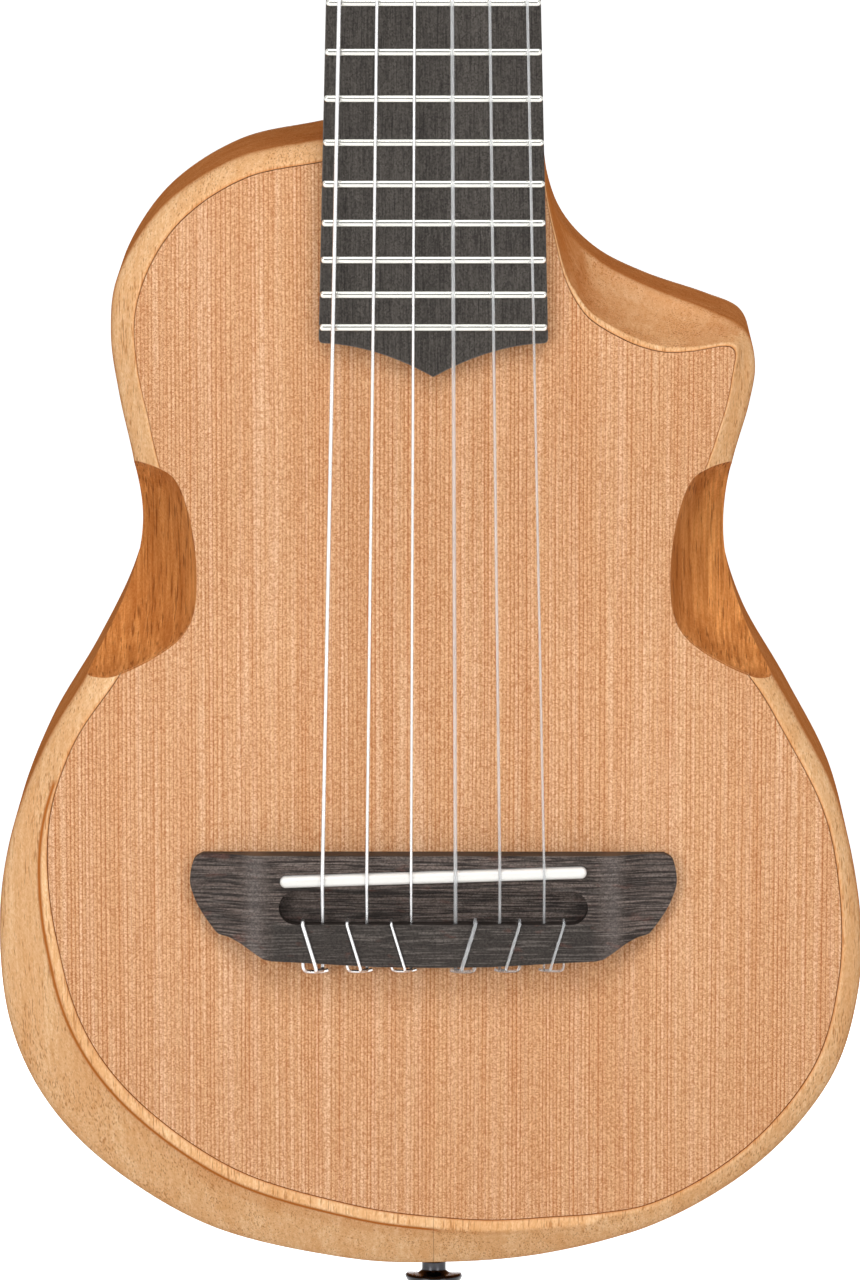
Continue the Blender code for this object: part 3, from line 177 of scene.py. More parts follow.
class Finish(Nodes):
    """A material in the making, patterned by the place of each point on its piece."""

    def __init__(self, name, roughness=0.5, metallic=0.0, **sockets):
        self.material = bpy.data.materials.new(name)
        self.material.use_nodes = True
        super().__init__(self.material.node_tree)
        self.shader = self.tree.nodes["Principled BSDF"]
        sockets = {key.replace("_", " "): value for key, value in sockets.items()}
        self.feed(self.shader, {"Roughness": roughness, "Metallic": metallic, **sockets})
        self.place = self.put("TexCoord")["Object"]

    def swayed(self, place, axis, sway, reach):
        """The place shifted along an axis, so that a pattern wanders."""
        shift = self.put("CombineXYZ", {axis: self.times(sway, reach)})[0]
        return self.put("VectorMath", {0: place, 1: shift}, operation="ADD")[0]

    def laid(self, colour, *layers):
        """A colour with others laid over it, each by a pattern and its strength."""
        for pattern, strength, over in layers:
            colour = self.tint(self.times(pattern, strength), colour, over)
        return colour

    def speckled(self, colour, place, scale, deep, light):
        """Fine darker and paler grains over a colour, as open wood shows under a thin varnish."""
        cells = self.put("TexVoronoi", {"Vector": self.stretched(place, scale), "Scale": 1.0})["Color"]
        grains = self.put("SeparateXYZ", {0: cells})["X"]
        return self.tint(1.0, colour, self.tint(grains, deep, light), "MULTIPLY")

    def rubbed(self, colour, pale, share):
        """Corners a little paler, where handling wears the varnish thin."""
        corner = self.ramp(self.put("NewGeometry")["Pointiness"], 0.52, 0.60, 0.0, share)
        return self.tint(corner, colour, pale)

    def facing(self):
        """How far a point faces the front or the back: 0 on the walls, 1 on the flats."""
        return self.maths("ABSOLUTE", self.put("SeparateXYZ", {0: self.put("NewGeometry")["Normal"]})["Y"])

    def done(self, colour, roughness, height, depth, strength):
        """The material, given its colour, its roughness and the relief of its surface."""
        relief = self.put("Bump", {"Height": height, "Distance": depth, "Strength": strength})["Normal"]
        self.feed(self.shader, {"Base Color": colour, "Roughness": roughness, "Normal": relief})
        return self.material


def plain_wood(name, pale, dark, grain=(260, 160, 7), pores=(2700, 1700, 260), pore_colour=(0.2, 0.08, 0.03),
               pore_share=0.8, streak=0.5, turn=(0, 0, 0), roughness=0.62, gloss=0.12, side=None):
    """Hardwood: soft streaks along the grain, fine fibres and short open pores.

    Side is the colour its walls are multiplied by: painted shade, where they turn away from the front.
    """
    wood = Finish(name, roughness, Specular_IOR_Level=gloss)
    along = wood.stretched(wood.place, (1, 1, 1), turn)
    bent = wood.swayed(along, "X", wood.cloud(along, 9.0, 1.0), 0.006)
    broad = wood.patches(bent, (70, 70, 4), 0.38, 0.62, 3.0, 0.6)
    fine = wood.patches(bent, grain, 0.40, 0.60, 4.0, 0.70)
    fibre = wood.patches(bent, (1250, 2.5 * grain[1], 50), 0.40, 0.62)
    colour = wood.laid(pale, (broad, streak, dark), (fine, streak, dark), (fibre, streak * 0.9, dark))
    colour = wood.speckled(colour, bent, (3100, 3100, 1500), (0.92, 0.84, 0.73), (1.05, 1.09, 1.15))
    sparse = wood.ramp(wood.cloud(along, (90, 90, 40)), 0.35, 0.62, 0.10, 0.0)
    pore = wood.ramp(wood.maths("SUBTRACT", wood.cloud(bent, pores, 1.0, 0.4), sparse), 0.54, 0.66)
    colour = wood.laid(colour, (pore, pore_share, pore_colour))
    if side:
        # Painted shade: steep slopes are multiplied a little darker and the walls darker still, by how far they
        # turn from the front.
        slope = wood.facing()
        for low, high, share, painted_wall_shade in ((0.10, 0.44, 0.88, (0.735, 0.48, 0.28)), (0.03, 0.30, 0.92, side)):
            colour = wood.tint(wood.ramp(slope, low, high, share, 0.0), colour, painted_wall_shade, "MULTIPLY")
        # A mark kept on the mesh: painted shade in the groove, low on the bevel and out on the cove, and a dark
        # line along the joint, laid on in orange brown.
        shade_and_joint_mark = wood.put("Attribute", attribute_name="painted_shade_and_joint")["Fac"]
        colour = wood.tint(shade_and_joint_mark, colour, (0.60, 0.185, 0.035))
    return wood.done(wood.rubbed(colour, pale, 0.35), wood.ramp(fine, 0, 1, roughness - 0.06, roughness + 0.08),
                     wood.maths("SUBTRACT", wood.times(fibre, 0.35), pore), 0.00006, 0.35)


# Its side colour is painted shade for the rim's walls.
rim_wood = plain_wood("golden_hardwood", (1.0, 0.67, 0.385), (0.80, 0.410, 0.170), side=(0.81, 0.68, 0.57),
                      pore_colour=(0.47, 0.17, 0.045), pore_share=0.66, streak=0.46, gloss=0.0)
scoop_wood = plain_wood("scooped_hardwood", (0.96, 0.43, 0.135), (0.42, 0.125, 0.024), grain=(520, 60, 6),
                        pores=(2300, 260, 130), pore_colour=(0.22, 0.058, 0.011), pore_share=0.75,
                        streak=0.56, gloss=0.03)
inner_wood = plain_wood("sawn_hardwood", (0.60, 0.30, 0.12), (0.42, 0.18, 0.06), roughness=0.7, gloss=0.1)


def at(x, y, z):
    return Matrix.Translation((x, y, z))


def placed(name, data):
    """An object in the scene that holds the data."""
    obj = bpy.data.objects.new(name, data)
    bpy.context.scene.collection.objects.link(obj)
    return obj


def coated(obj, *finishes):
    for finish in finishes:
        obj.data.materials.append(finish)
    return obj


def mesh_object(name, builder):
    """An object from a bmesh, with coincident points made one and its faces turned outwards."""
    bmesh.ops.remove_doubles(builder, verts=builder.verts, dist=0.000001)
    bmesh.ops.recalc_face_normals(builder, faces=builder.faces)
    mesh = bpy.data.meshes.new(name)
    builder.to_mesh(mesh)
    builder.free()
    return placed(name, mesh)


def gathered(name, objects):
    """Several shapes put into one mesh."""
    builder = bmesh.new()
    for obj in objects:
        builder.from_mesh(obj.data)
        bpy.data.objects.remove(obj)
    return mesh_object(name, builder)


def skin(builder, rings):
    """Faces through closed rings of equal count, row by row, and over the first and the last of them."""
    rows = [[builder.verts.new(point) for point in ring] for ring in rings]
    faces = []
    for near, far in zip(rows, rows[1:]):
        for i in range(len(near)):
            j = (i + 1) % len(near)
            faces.append(builder.faces.new((near[i], near[j], far[j], far[i])))
    builder.faces.new(rows[0])
    builder.faces.new(rows[-1])
    return faces


def loft(name, rings):
    """A solid of that skin."""
    builder = bmesh.new()
    skin(builder, rings)
    return mesh_object(name, builder)


def box_shape(name, low, high):
    """A square block from its lowest to its highest corner."""
    builder = bmesh.new()
    size = Vector(high) - Vector(low)
    middle = Matrix.Translation((Vector(low) + Vector(high)) / 2)
    bmesh.ops.create_cube(builder, size=1, matrix=middle @ Matrix.Diagonal((*size, 1)))
    return mesh_object(name, builder)


def plug(name, place, radius, length, sides=20):
    """A round rod. The place is a frame whose Z is the rod's axis."""
    builder = bmesh.new()
    bmesh.ops.create_cone(builder, cap_ends=True, segments=sides, radius1=radius, radius2=radius,
                          depth=length, matrix=place)
    return mesh_object(name, builder)


def as_mesh(obj):
    """A new mesh of the object as its modifiers leave it."""
    return bpy.data.meshes.new_from_object(obj.evaluated_get(bpy.context.evaluated_depsgraph_get()))


def settle(obj):
    """Works the modifiers into the mesh."""
    mesh = as_mesh(obj)
    obj.modifiers.clear()
    obj.data = mesh


def work(obj, other, operation="DIFFERENCE"):
    """Cuts obj with another shape, or joins it, and puts the other away."""
    modifier = obj.modifiers.new("work", "BOOLEAN")
    modifier.operation = operation
    modifier.solver = "EXACT"
    modifier.material_mode = "TRANSFER"
    modifier.object = other
    settle(obj)
    bpy.data.objects.remove(other)


def show(obj, material, node=None, body="instrument", smooth=32.0, level=False):
    """Finishes a piece: its material, its shading, the body it rides on and the node it stands for."""
    if not any(obj.data.materials):
        obj.data.materials.clear()
        coated(obj, material)
        obj.data.polygons.foreach_set("material_index", [0] * len(obj.data.polygons))
    for index, finish in enumerate(obj.data.materials):
        if finish is None:
            obj.data.materials[index] = material
    obj.data.shade_smooth()
    obj.data.set_sharp_from_angle(angle=math.radians(smooth))
    if level:
        obj.modifiers.new("level", "WEIGHTED_NORMAL").keep_sharp = True
        settle(obj)
    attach(obj, body)
    if node:
        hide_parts(node)


def through_points(points, steps):
    """A smooth curve through an open row of points, each stretch cut into equal steps."""
    row = [np.array(point, float) for point in points]
    row = [2 * row[0] - row[1], *row, 2 * row[-1] - row[-2]]
    curve = []
    for a, b, c, d in zip(row, row[1:], row[2:], row[3:]):
        for t in np.arange(steps) / steps:
            bend = (c - a) * t + (2 * a - 5 * b + 4 * c - d) * t**2 + (3 * b - a - 3 * c + d) * t**3
            curve.append(b + bend / 2)
    curve.append(row[-2])
    return np.array(curve)


def bend(a, corner, b, count):
    """A corner rounded off from a to b."""
    a, corner, b = (np.array(p) for p in (a, corner, b))
    return [tuple((1 - t) ** 2 * a + 2 * t * (1 - t) * corner + t * t * b) for t in np.linspace(0, 1, count)]


def drawn(points):
    return [(x / 1000, BODY_BOTTOM + z / 1000) for x, z in points]


def polar_outline():
    """Bearings and radii of the outer outline round the hub, a hair inside the drawing."""
    curve = through_points(drawn(OUTLINE), 24)
    seat = np.linspace(curve[-1], curve[0], 40)[1:]
    across, along = (np.vstack([curve, seat]) - HUB).T
    bearings = np.degrees(np.arctan2(along, across)) % 360
    order = np.argsort(bearings)
    return bearings[order], np.hypot(across, along)[order] * 0.9998


OUTLINE_BEARINGS, OUTLINE_RADII = polar_outline()


def outer_radius(bearing):
    return np.interp(bearing % 360, OUTLINE_BEARINGS, OUTLINE_RADII, period=360)


@functools.cache
def smooth_table(table):
    """A table round the rim, closed on itself and drawn smooth."""
    row = [(b - 360, w) for b, w in table[-2:]] + list(table) + [(b + 360, w) for b, w in table[:2]]
    return through_points(row, 10).T


def along_rim(table, bearing):
    """A width of the rim at a bearing, smoothly between the table's own bearings."""
    return float(np.interp(bearing % 360, *smooth_table(table)))


def groove_share(bearing):
    return min(max(along_rim(RIM_GROOVE, bearing), 0.0), 1.0) if 186 < bearing % 360 < 292 else 0.0


def at_bearing(bearing, radius, y):
    angle = math.radians(bearing)
    return (HUB[0] + radius * math.cos(angle), y, HUB[1] + radius * math.sin(angle))


def half_bearings(start, end):
    """Bearings round one side, evenly spaced along the outline and closer where it turns."""
    fine = np.linspace(start, end, 2881)
    radii = outer_radius(fine)
    x = radii * np.cos(np.radians(fine))
    z = radii * np.sin(np.radians(fine))
    heading = np.unwrap(np.arctan2(np.diff(z), np.diff(x)))
    turn = np.abs(np.diff(heading, prepend=heading[0]))
    run = np.concatenate([[0], np.cumsum(np.hypot(np.diff(x), np.diff(z)) + TURN_CROWDING * turn)])
    return list(np.interp(np.linspace(0, run[-1], RIM_STATIONS + 1), run, fine))


def rim_section(bearing):
    """The rim cut across at a bearing: face, bevel, side wall, back, chamber wall and ledge."""
    outer = outer_radius(bearing)
    joint = outer - along_rim(RIM_FACE, bearing)
    shoulder = joint + along_rim(RIM_STEP, bearing)
    inner = outer - along_rim(RIM_WALL, bearing)
    drop = along_rim(RIM_DROP, bearing)
    t = np.linspace(0, 1, 160)
    radii = shoulder + (outer - shoulder) * t
    fall = drop * (1 - (1 - t) ** along_rim(RIM_HOLLOW, bearing))
    fall += GROOVE_DROP * groove_share(bearing) * np.clip((radii - shoulder) / GROOVE_WIDTH, 0, 1) * (1 - t)
    run = np.concatenate([[0], np.cumsum(np.hypot(np.diff(radii), np.diff(fall)))])
    near = min(SHOULDER_EASE, run[-1] * 0.3, (shoulder - joint) * 0.8)
    far = min(EDGE_EASE, run[-1] * 0.4, 0.9 * (RIM_BACK - FRONT - drop))
    close = min(near + 0.0022, (near + run[-1] - far) / 2)

    def on_bevel(length):
        return (np.interp(length, run, radii), np.interp(length, run, fall))

    path = [(joint, 0.0), (joint + min(0.0005, (shoulder - near - joint) / 2), 0.0)]
    path += bend((shoulder - near, 0.0), (shoulder, 0.0), on_bevel(near), 4)
    path += [on_bevel(length) for length in np.linspace(near, close, 6)[1:]]
    path += [on_bevel(length) for length in np.linspace(close, run[-1] - far, BEVEL_POINTS + 2)[1:-1]]
    path += bend(on_bevel(run[-1] - far), (outer, drop), (outer, drop + far), 7)
    profile = [(radius, FRONT + depth) for radius, depth in path]
    wall = profile[-1][1]
    profile += [(outer, y) for y in (wall + 0.0015, (wall + RIM_BACK) / 2, RIM_BACK - 0.002, RIM_BACK)]
    profile += [(inner, RIM_BACK), (inner, LEDGE), (joint, LEDGE)]
    return [at_bearing(bearing, radius, y) for radius, y in profile]


def scoop_shape(side):
    """The cove of the waist: its edge on the face, shrinking to nothing at its full depth."""
    loop = through_points(drawn(SCOOP_EDGE + SCOOP_EDGE[:1]), 8)[:-1]
    middle = np.array(drawn([SCOOP_MIDDLE])[0])
    rings = [[(side * x, FRONT - 0.002, z) for x, z in loop]]
    for lean in np.radians(np.linspace(0, 88, 30)):
        flat = middle + (loop - middle) * math.cos(lean)
        rings.append([(side * x, FRONT + SCOOP_DEPTH * math.sin(lean), z) for x, z in flat])
    return coated(loft("scoop", rings), scoop_wood)


def painted_shade_and_joint(rim):
    """Marks where the wood is painted darker: painted shade in the groove, low on the bevel where it faces down
    and out on the cove, and a dark line along the joint.
    """
    marks = rim.data.attributes.new("painted_shade_and_joint", "FLOAT", "POINT")
    for vertex, mark in zip(rim.data.vertices, marks.data):
        x, y, z = vertex.co
        bearing = math.degrees(math.atan2(z - HUB[1], x - HUB[0])) % 360
        radius = math.hypot(x - HUB[0], z - HUB[1])
        if y > FRONT + 0.005:
            # Painted shade on the cove, darkest by its outer edge.
            edge = float(np.interp(outer_radius(bearing) - radius, (0.002, 0.010), (0.30, 0.0)))
            in_cove = 50 < bearing < 78 and y < FRONT + along_rim(RIM_DROP, bearing) + 0.002
            mark.value = edge if in_cove else 0.0
            continue
        joint = outer_radius(bearing) - along_rim(RIM_FACE, bearing)
        beyond = (radius - joint - along_rim(RIM_STEP, bearing)) / GROOVE_WIDTH
        # Painted shade in the groove and low on the bevel, where it faces down; darker along the joint.
        groove = groove_share(bearing) * min(1.0, max(0.0, 1.5 - 2.6 * abs(beyond - 0.5)))
        low = 0.19 * float(np.interp(bearing, (222, 246, 270, 270.01), (0, 1, 1, 0))) if beyond > 0 else 0.0
        mark.value = max(groove, 0.8 * (1 - (radius - joint) / 0.0005), low)


TENON_LOW = (-0.011, FRONT + 0.006, BODY_TOP - 0.012)
TENON_HIGH = (0.011, FRONT + 0.046, BODY_TOP + 0.004)
for rim_name, rim_start, rim_side in (("bass", 90, -1), ("treble", -90, 1)):
    sections = [rim_section(bearing) for bearing in half_bearings(rim_start, rim_start + 180)]
    for section in (sections[0], sections[-1]):
        section[:] = [(rim_side * SEAM / 2, y, z) for x, y, z in section]
    rim = coated(loft(f"rim_{rim_name}", sections), rim_wood)
    painted_shade_and_joint(rim)
    mortise = box_shape("mortise", (TENON_LOW[0] - GAP, TENON_LOW[1] - GAP, TENON_LOW[2] - GAP),
                        (TENON_HIGH[0] + GAP, TENON_HIGH[1] + GAP, TENON_HIGH[2]))
    pilot = plug("pilot", at(0, 0, BODY_BOTTOM + 0.007), 0.0018, 0.016, 32)
    work(rim, coated(gathered("seam_cuts", [mortise, pilot]), inner_wood))
    work(rim, scoop_shape(rim_side))
    show(rim, rim_wood, f"body_side_{rim_name}", level=True)

# Top. One thin plate of vertical-grained cedar, let into the rim's ledge so that the two lie flush;
# only a hairline shows where they meet. It has no sound hole. A thin satin varnish leaves the grain
# and the small cross flecks open.

TOP_INSET = 0.00022
TOP_ARRIS = 0.00022
# Local X across, Y up the neck and Z out of the top.
FACING = Matrix.Rotation(math.pi / 2, 4, "X")


def plate(name, outline, low, high, place, holes=()):
    """A flat outline in local X and Y, solid from low to high along local Z, with any holes."""
    curve = bpy.data.curves.new(name, "CURVE")
    curve.dimensions = "2D"
    curve.fill_mode = "BOTH"
    curve.extrude = (high - low) / 2
    for loop in (outline, *holes):
        spline = curve.splines.new("POLY")
        spline.points.add(len(loop) - 1)
        spline.use_cyclic_u = True
        for point, (x, y) in zip(spline.points, loop):
            point.co = (x, y, 0, 1)
    guide = placed(name, curve)
    mesh = as_mesh(guide)
    bpy.data.objects.remove(guide)
    bpy.data.curves.remove(curve)
    mesh.transform(place @ at(0, 0, (low + high) / 2))
    builder = bmesh.new()
    builder.from_mesh(mesh)
    bpy.data.meshes.remove(mesh)
    return mesh_object(name, builder)


def ease(obj, width, segments=2, angle=40.0, worn=-1):
    """Takes the sharp edges off, and may give the eased corners the material in another slot."""
    modifier = obj.modifiers.new("ease", "BEVEL")
    modifier.width = width
    modifier.segments = segments
    modifier.limit_method = "ANGLE"
    modifier.angle_limit = math.radians(angle)
    modifier.harden_normals = False
    modifier.material = worn
    settle(obj)


def cedar_finish(name, fresh=0.0):
    """Straight year lines close together. Fresh is how pale the wood is, where a cut has bared it."""
    wood = Finish(name, 0.55, Specular_IOR_Level=0.12)
    drift = wood.swayed(wood.place, "X", wood.cloud(wood.place, (14, 14, 5)), 0.0022)
    x = wood.put("SeparateXYZ", {0: drift})["X"]
    crowding = wood.cloud(wood.put("CombineXYZ", {"X": wood.times(x, 42.0)})[0], 1.0)
    years = wood.maths("ADD", wood.times(x, 960.0), wood.times(crowding, 5.0))
    late = wood.maths("POWER", wood.ramp(wood.maths("FRACT", years), 0.46, 0.90), 1.3)
    bent = wood.swayed(drift, "Z", wood.cloud(wood.place, (320, 320, 2), 1.0), 0.30)
    late = wood.times(late, wood.ramp(wood.cloud(bent, (560, 560, 3), 1.0), 0.36, 0.64, 0.55, 1.0))
    broad = wood.patches(bent, (46, 46, 1.6), 0.36, 0.66, 3.0)
    thread = wood.patches(bent, (1550, 1550, 9), 0.42, 0.62, 1.0)
    gleam = wood.patches(bent, (1350, 900, 12), 0.50, 0.66, 1.0)
    patch = wood.patches(bent, 26.0, 0.38, 0.62)
    colour = wood.laid((0.76, 0.442, 0.226),
                       (broad, 0.10, (0.72, 0.37, 0.160)), (patch, 0.16, (0.76, 0.41, 0.195)),
                       (late, 0.95, (0.50, 0.155, 0.043)), (thread, 0.28, (0.58, 0.225, 0.075)),
                       (gleam, 0.28, (1.0, 0.70, 0.46)))
    colour = wood.speckled(colour, wood.place, (3300, 3300, 2900), (0.75, 0.58, 0.46), (1.18, 1.32, 1.50))
    height = wood.maths("ADD", wood.times(late, 0.7), wood.times(thread, 0.5))
    return wood.done(wood.tint(fresh, colour, (1.0, 0.84, 0.66)), wood.ramp(late, 0, 1, 0.60, 0.46),
                     height, 0.000015, 0.3)


cedar = cedar_finish("cedar_top")
cut_cedar = cedar_finish("cedar_cut_edge", 0.9)
round_body = half_bearings(90, 270) + half_bearings(-90, 90)[1:-1]
top_loop = [at_bearing(b, outer_radius(b) - along_rim(RIM_FACE, b) - TOP_INSET, 0)[::2] for b in round_body]
top = coated(plate("cedar_top", top_loop, -FRONT - TOP_THICKNESS, -FRONT, FACING), cedar, cut_cedar)
ease(top, TOP_ARRIS)
# The scoops' material passes onto the cedar's cut walls inside them: painted shade, a dark line where the
# plate's edge is seen on end.
for scoop_side in (-1, 1):
    work(top, scoop_shape(scoop_side))
ease(top, 0.0005, worn=1)
show(top, cedar, "soundboard", smooth=50)

# Back. A plate of reddish hardwood glued over the whole rim, its edge rounded by hand, and bare of
# any ornament. Inside, two bars and a thin plate under the bridge stiffen the top: split spruce,
# planed and left without varnish.

BACK_EASE = 0.0015
reddish_wood = plain_wood("reddish_hardwood", (0.50, 0.235, 0.095), (0.33, 0.125, 0.045), pore_share=0.7,
                          pore_colour=(0.14, 0.05, 0.02), streak=0.55)
back_steps = [(0, BACK - BACK_THICKNESS)]
for lean in np.radians((0, 22.5, 45, 67.5, 90)):
    back_steps.append((BACK_EASE * (1 - math.cos(lean)), BACK - BACK_EASE * (1 - math.sin(lean))))
back_rings = [[at_bearing(b, outer_radius(b) - inset, y) for b in round_body] for inset, y in back_steps]
show(loft("back", back_rings), reddish_wood, "back_plate")

split_spruce = plain_wood("split_spruce", (0.80, 0.62, 0.38), (0.66, 0.46, 0.24), pore_share=0.1,
                          turn=(0, math.pi / 2, 0), roughness=0.75, gloss=0.1)
for bar_name in ("upper_brace", "lower_brace", "bridge_plate"):
    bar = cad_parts[bar_name]
    bar.data.materials.clear()
    coated(bar, split_spruce)

# Fretboard. A flat board of dark, close hardwood, tapered from nut to end, whose end is sawn to a
# point with two swept hollows. It is oiled, not varnished, and glued over the neck and the top.

SCALE_LENGTH = 0.433
BODY_FRET = 14
NUT_Z = BODY_TOP + SCALE_LENGTH * (1 - 2 ** (-BODY_FRET / 12))
SADDLE_Z = NUT_Z - SCALE_LENGTH
NUT_WIDTH = 0.047
FRET_COUNT = 19
BOARD_THICKNESS = 0.005
BOARD_FACE = FRONT - BOARD_THICKNESS
BOARD_END_WIDTH = 0.060
BOARD_POINT = 0.0089
BOARD_CORNER = 0.0013
TANG_SLOT = 0.00055
TANG_DEPTH = 0.0018
GLUE_LINE = 0.00005


def fret_z(number):
    return NUT_Z - SCALE_LENGTH * (1 - 2 ** (-number / 12))


BOARD_END = fret_z(FRET_COUNT) - 0.0042


def board_half_width(z):
    return (NUT_WIDTH + (BOARD_END_WIDTH - NUT_WIDTH) * (NUT_Z - z) / (NUT_Z - BOARD_END)) / 2


def board_outline():
    """The board seen from the front, its corners just rounded."""
    half = board_half_width(BOARD_END)
    end = []
    for share in np.linspace(-1, 1, 121):
        rise = BOARD_POINT * (1 - (1 - abs(share)) ** 1.9)
        if abs(share * half) < half - BOARD_CORNER:
            end.append((share * half, BOARD_END - BOARD_POINT + rise))
    above, high = BOARD_END + BOARD_CORNER, NUT_Z - GAP
    side = bend(end[-1], (half, BOARD_END), (board_half_width(above), above), 9)[1:]
    side.append((board_half_width(high), high))
    return [(-x, z) for x, z in reversed(side)] + end + side


def board_finish(name, worn=0.0):
    """Dark grain along the neck. Worn is how much paler handling has left it, as along the corners."""
    wood = Finish(name, 0.45, Specular_IOR_Level=0.2)
    bent = wood.swayed(wood.place, "X", wood.cloud(wood.place, (20, 20, 6), 1.0), 0.004)
    broad = wood.patches(bent, (130, 130, 5), 0.38, 0.62, 3.0)
    fine = wood.patches(bent, (1300, 850, 24), 0.42, 0.58, 2.0, 0.7)
    fibre = wood.patches(bent, (2100, 1250, 110), 0.42, 0.62, 1.0)
    pore = wood.patches(bent, (1900, 900, 100), 0.58, 0.66, 1.0)
    colour = wood.laid((0.046, 0.041, 0.037),
                       (broad, 1.0, (0.068, 0.061, 0.055)), (fine, 0.50, (0.032, 0.028, 0.025)),
                       (fibre, 0.30, (0.115, 0.105, 0.095)), (pore, 0.60, (0.016, 0.013, 0.011)))
    colour = wood.speckled(colour, wood.place, (2900, 2900, 2200), (0.58, 0.56, 0.54), (1.44, 1.42, 1.40))
    return wood.done(wood.tint(worn, colour, (0.19, 0.17, 0.155)), wood.ramp(fine, 0, 1, 0.38, 0.52),
                     wood.maths("SUBTRACT", wood.times(fibre, 0.4), pore), 0.00005, 0.7)


dark_wood = board_finish("dark_hardwood")
dark_corner = board_finish("dark_hardwood_corner", 0.45)
board = plate("board", board_outline(), -FRONT + GLUE_LINE, -FRONT + BOARD_THICKNESS, FACING)
slots = []
for number in range(1, FRET_COUNT + 1):
    slots.append(box_shape("slot", (-0.05, BOARD_FACE - 0.001, fret_z(number) - TANG_SLOT),
                           (0.05, BOARD_FACE + TANG_DEPTH + GAP, fret_z(number) + TANG_SLOT)))
ease(coated(board, dark_wood, dark_corner), 0.0003, worn=1)
work(board, gathered("slots", slots))
show(board, dark_wood, "fretboard", level=True)

# Frets. Nineteen lengths of nickel-silver wire, crowned, pressed into the board's saw cuts by their
# tangs, filed level and polished, each end dressed to a small smooth bead.

FRET_WIDTH = 0.0021
CROWN_HEIGHT = 0.00085
BEAD_LENGTH = 0.0009
TANG_HALF = 0.00025


def metal(name, colour, roughness, scratch=0.3):
    """Bright metal with faint polishing marks and duller handled patches."""
    finish = Finish(name, roughness, 1.0)
    patch = finish.patches(finish.place, 150.0, 0.3, 0.7, 3.0)
    marks = finish.cloud(finish.place, (3600, 3600, 300), 3.0, 0.7)
    dull = tuple(c * 0.78 for c in colour)
    sheen = finish.ramp(marks, 0.3, 0.7, roughness - 0.06, roughness + 0.10)
    return finish.done(finish.laid(colour, (patch, 0.5, dull)), sheen, marks, 0.00001, scratch)


fret_metal = metal("nickel_silver", (0.74, 0.73, 0.68), 0.16)


def fret_wire(number):
    """One fret: its crown over the board, narrowing to the ends, and its tang in the saw cut."""
    z = fret_z(number)
    half = board_half_width(z) - 0.0001
    face = BOARD_FACE - GLUE_LINE
    foot = face + TANG_DEPTH
    crown = [(FRET_WIDTH / 2 * math.cos(a), CROWN_HEIGHT * math.sin(a)) for a in np.linspace(0, math.pi, 17)]
    leans = math.pi / 2 * np.linspace(0.12, 1, 7)
    stations = [(-half + BEAD_LENGTH * (1 - math.cos(a)), math.sin(a)) for a in leans]
    stations += [(-x, share) for x, share in reversed(stations)]
    rings = []
    for x, share in stations:
        neck = TANG_HALF * share
        tang = ((face, -neck), (foot, -TANG_HALF), (foot, TANG_HALF), (face, neck))
        rings.append([(x, face - share * up, z + share * out) for out, up in crown]
                     + [(x, y, z + out) for y, out in tang])
    return loft(f"fret_wire_{number:02d}", rings)


for number in range(1, FRET_COUNT + 1):
    show(fret_wire(number), fret_metal, f"fret_{number:02d}", smooth=50)

# Nut. A small bar of polished bone that spaces the six strings at the head end of the board. Its
# crest is rounded over and each string has a round-bottomed slot filed to its own gauge.

NUT_THICKNESS = 0.005
NUT_HEIGHT = 0.0078
NUT_SLOT_HEIGHT = 0.0066
NUT_SPREAD = 0.0405
STRING_DIAMETERS = (0.00107, 0.00089, 0.00076, 0.00102, 0.00081, 0.00071)
STRING_CLEARANCE = 0.00025


def bone_finish():
    bar = Finish("bone_white", 0.3, Coat_Weight=0.3, Coat_Roughness=0.12)
    streak = bar.patches(bar.place, (60, 500, 700), 0.35, 0.7, 3.0)
    pit = bar.patches(bar.place, 2600.0, 0.68, 0.74, 1.0)
    colour = bar.laid((0.98, 0.975, 0.95), (streak, 1.0, (0.93, 0.92, 0.88)), (pit, 0.3, (0.62, 0.58, 0.48)))
    return bar.done(colour, bar.ramp(streak, 0, 1, 0.26, 0.36), bar.maths("SUBTRACT", streak, pit),
                    0.00001, 0.4)


bone = bone_finish()


def string_x(index, spread):
    return spread * (index / 5 - 0.5)


def over_nut(index):
    """The middle of a string where it lies in its nut slot."""
    height = NUT_SLOT_HEIGHT + STRING_DIAMETERS[index] / 2 + STRING_CLEARANCE
    return Vector((string_x(index, NUT_SPREAD), FRONT - height, NUT_Z + NUT_THICKNESS / 2))


def side_frame(side):
    """Local Y up the neck and Z outwards to this side; X runs frontwards on the treble side."""
    return Matrix(((0, 0, side, 0), (-side, 0, 0, 0), (0, 1, 0, 0), (0, 0, 0, 1)))


nut_low = NUT_Z + GLUE_LINE
nut_high = NUT_Z + NUT_THICKNESS
crest = -FRONT + NUT_HEIGHT
nut_side = [(-FRONT + GAP, nut_low), (crest - 0.0014, nut_low)]
nut_side += bend((crest - 0.0008, nut_low), (crest, nut_low), (crest, nut_low + 0.0010), 6)
nut_side += bend((crest - 0.0001, nut_low + 0.0016), (crest - 0.0006, nut_high), (crest - 0.0018, nut_high), 6)
nut_side.append((-FRONT + GAP, nut_high))
nut = plate("nut_bar", nut_side, -NUT_WIDTH / 2, NUT_WIDTH / 2, side_frame(1))
ease(nut, 0.00025, angle=55)
grooves = [plug("groove", at(*over_nut(index)), diameter / 2 + STRING_CLEARANCE, 0.02)
           for index, diameter in enumerate(STRING_DIAMETERS)]
work(nut, gathered("grooves", grooves))
show(nut, bone, "nut", smooth=40, level=True)

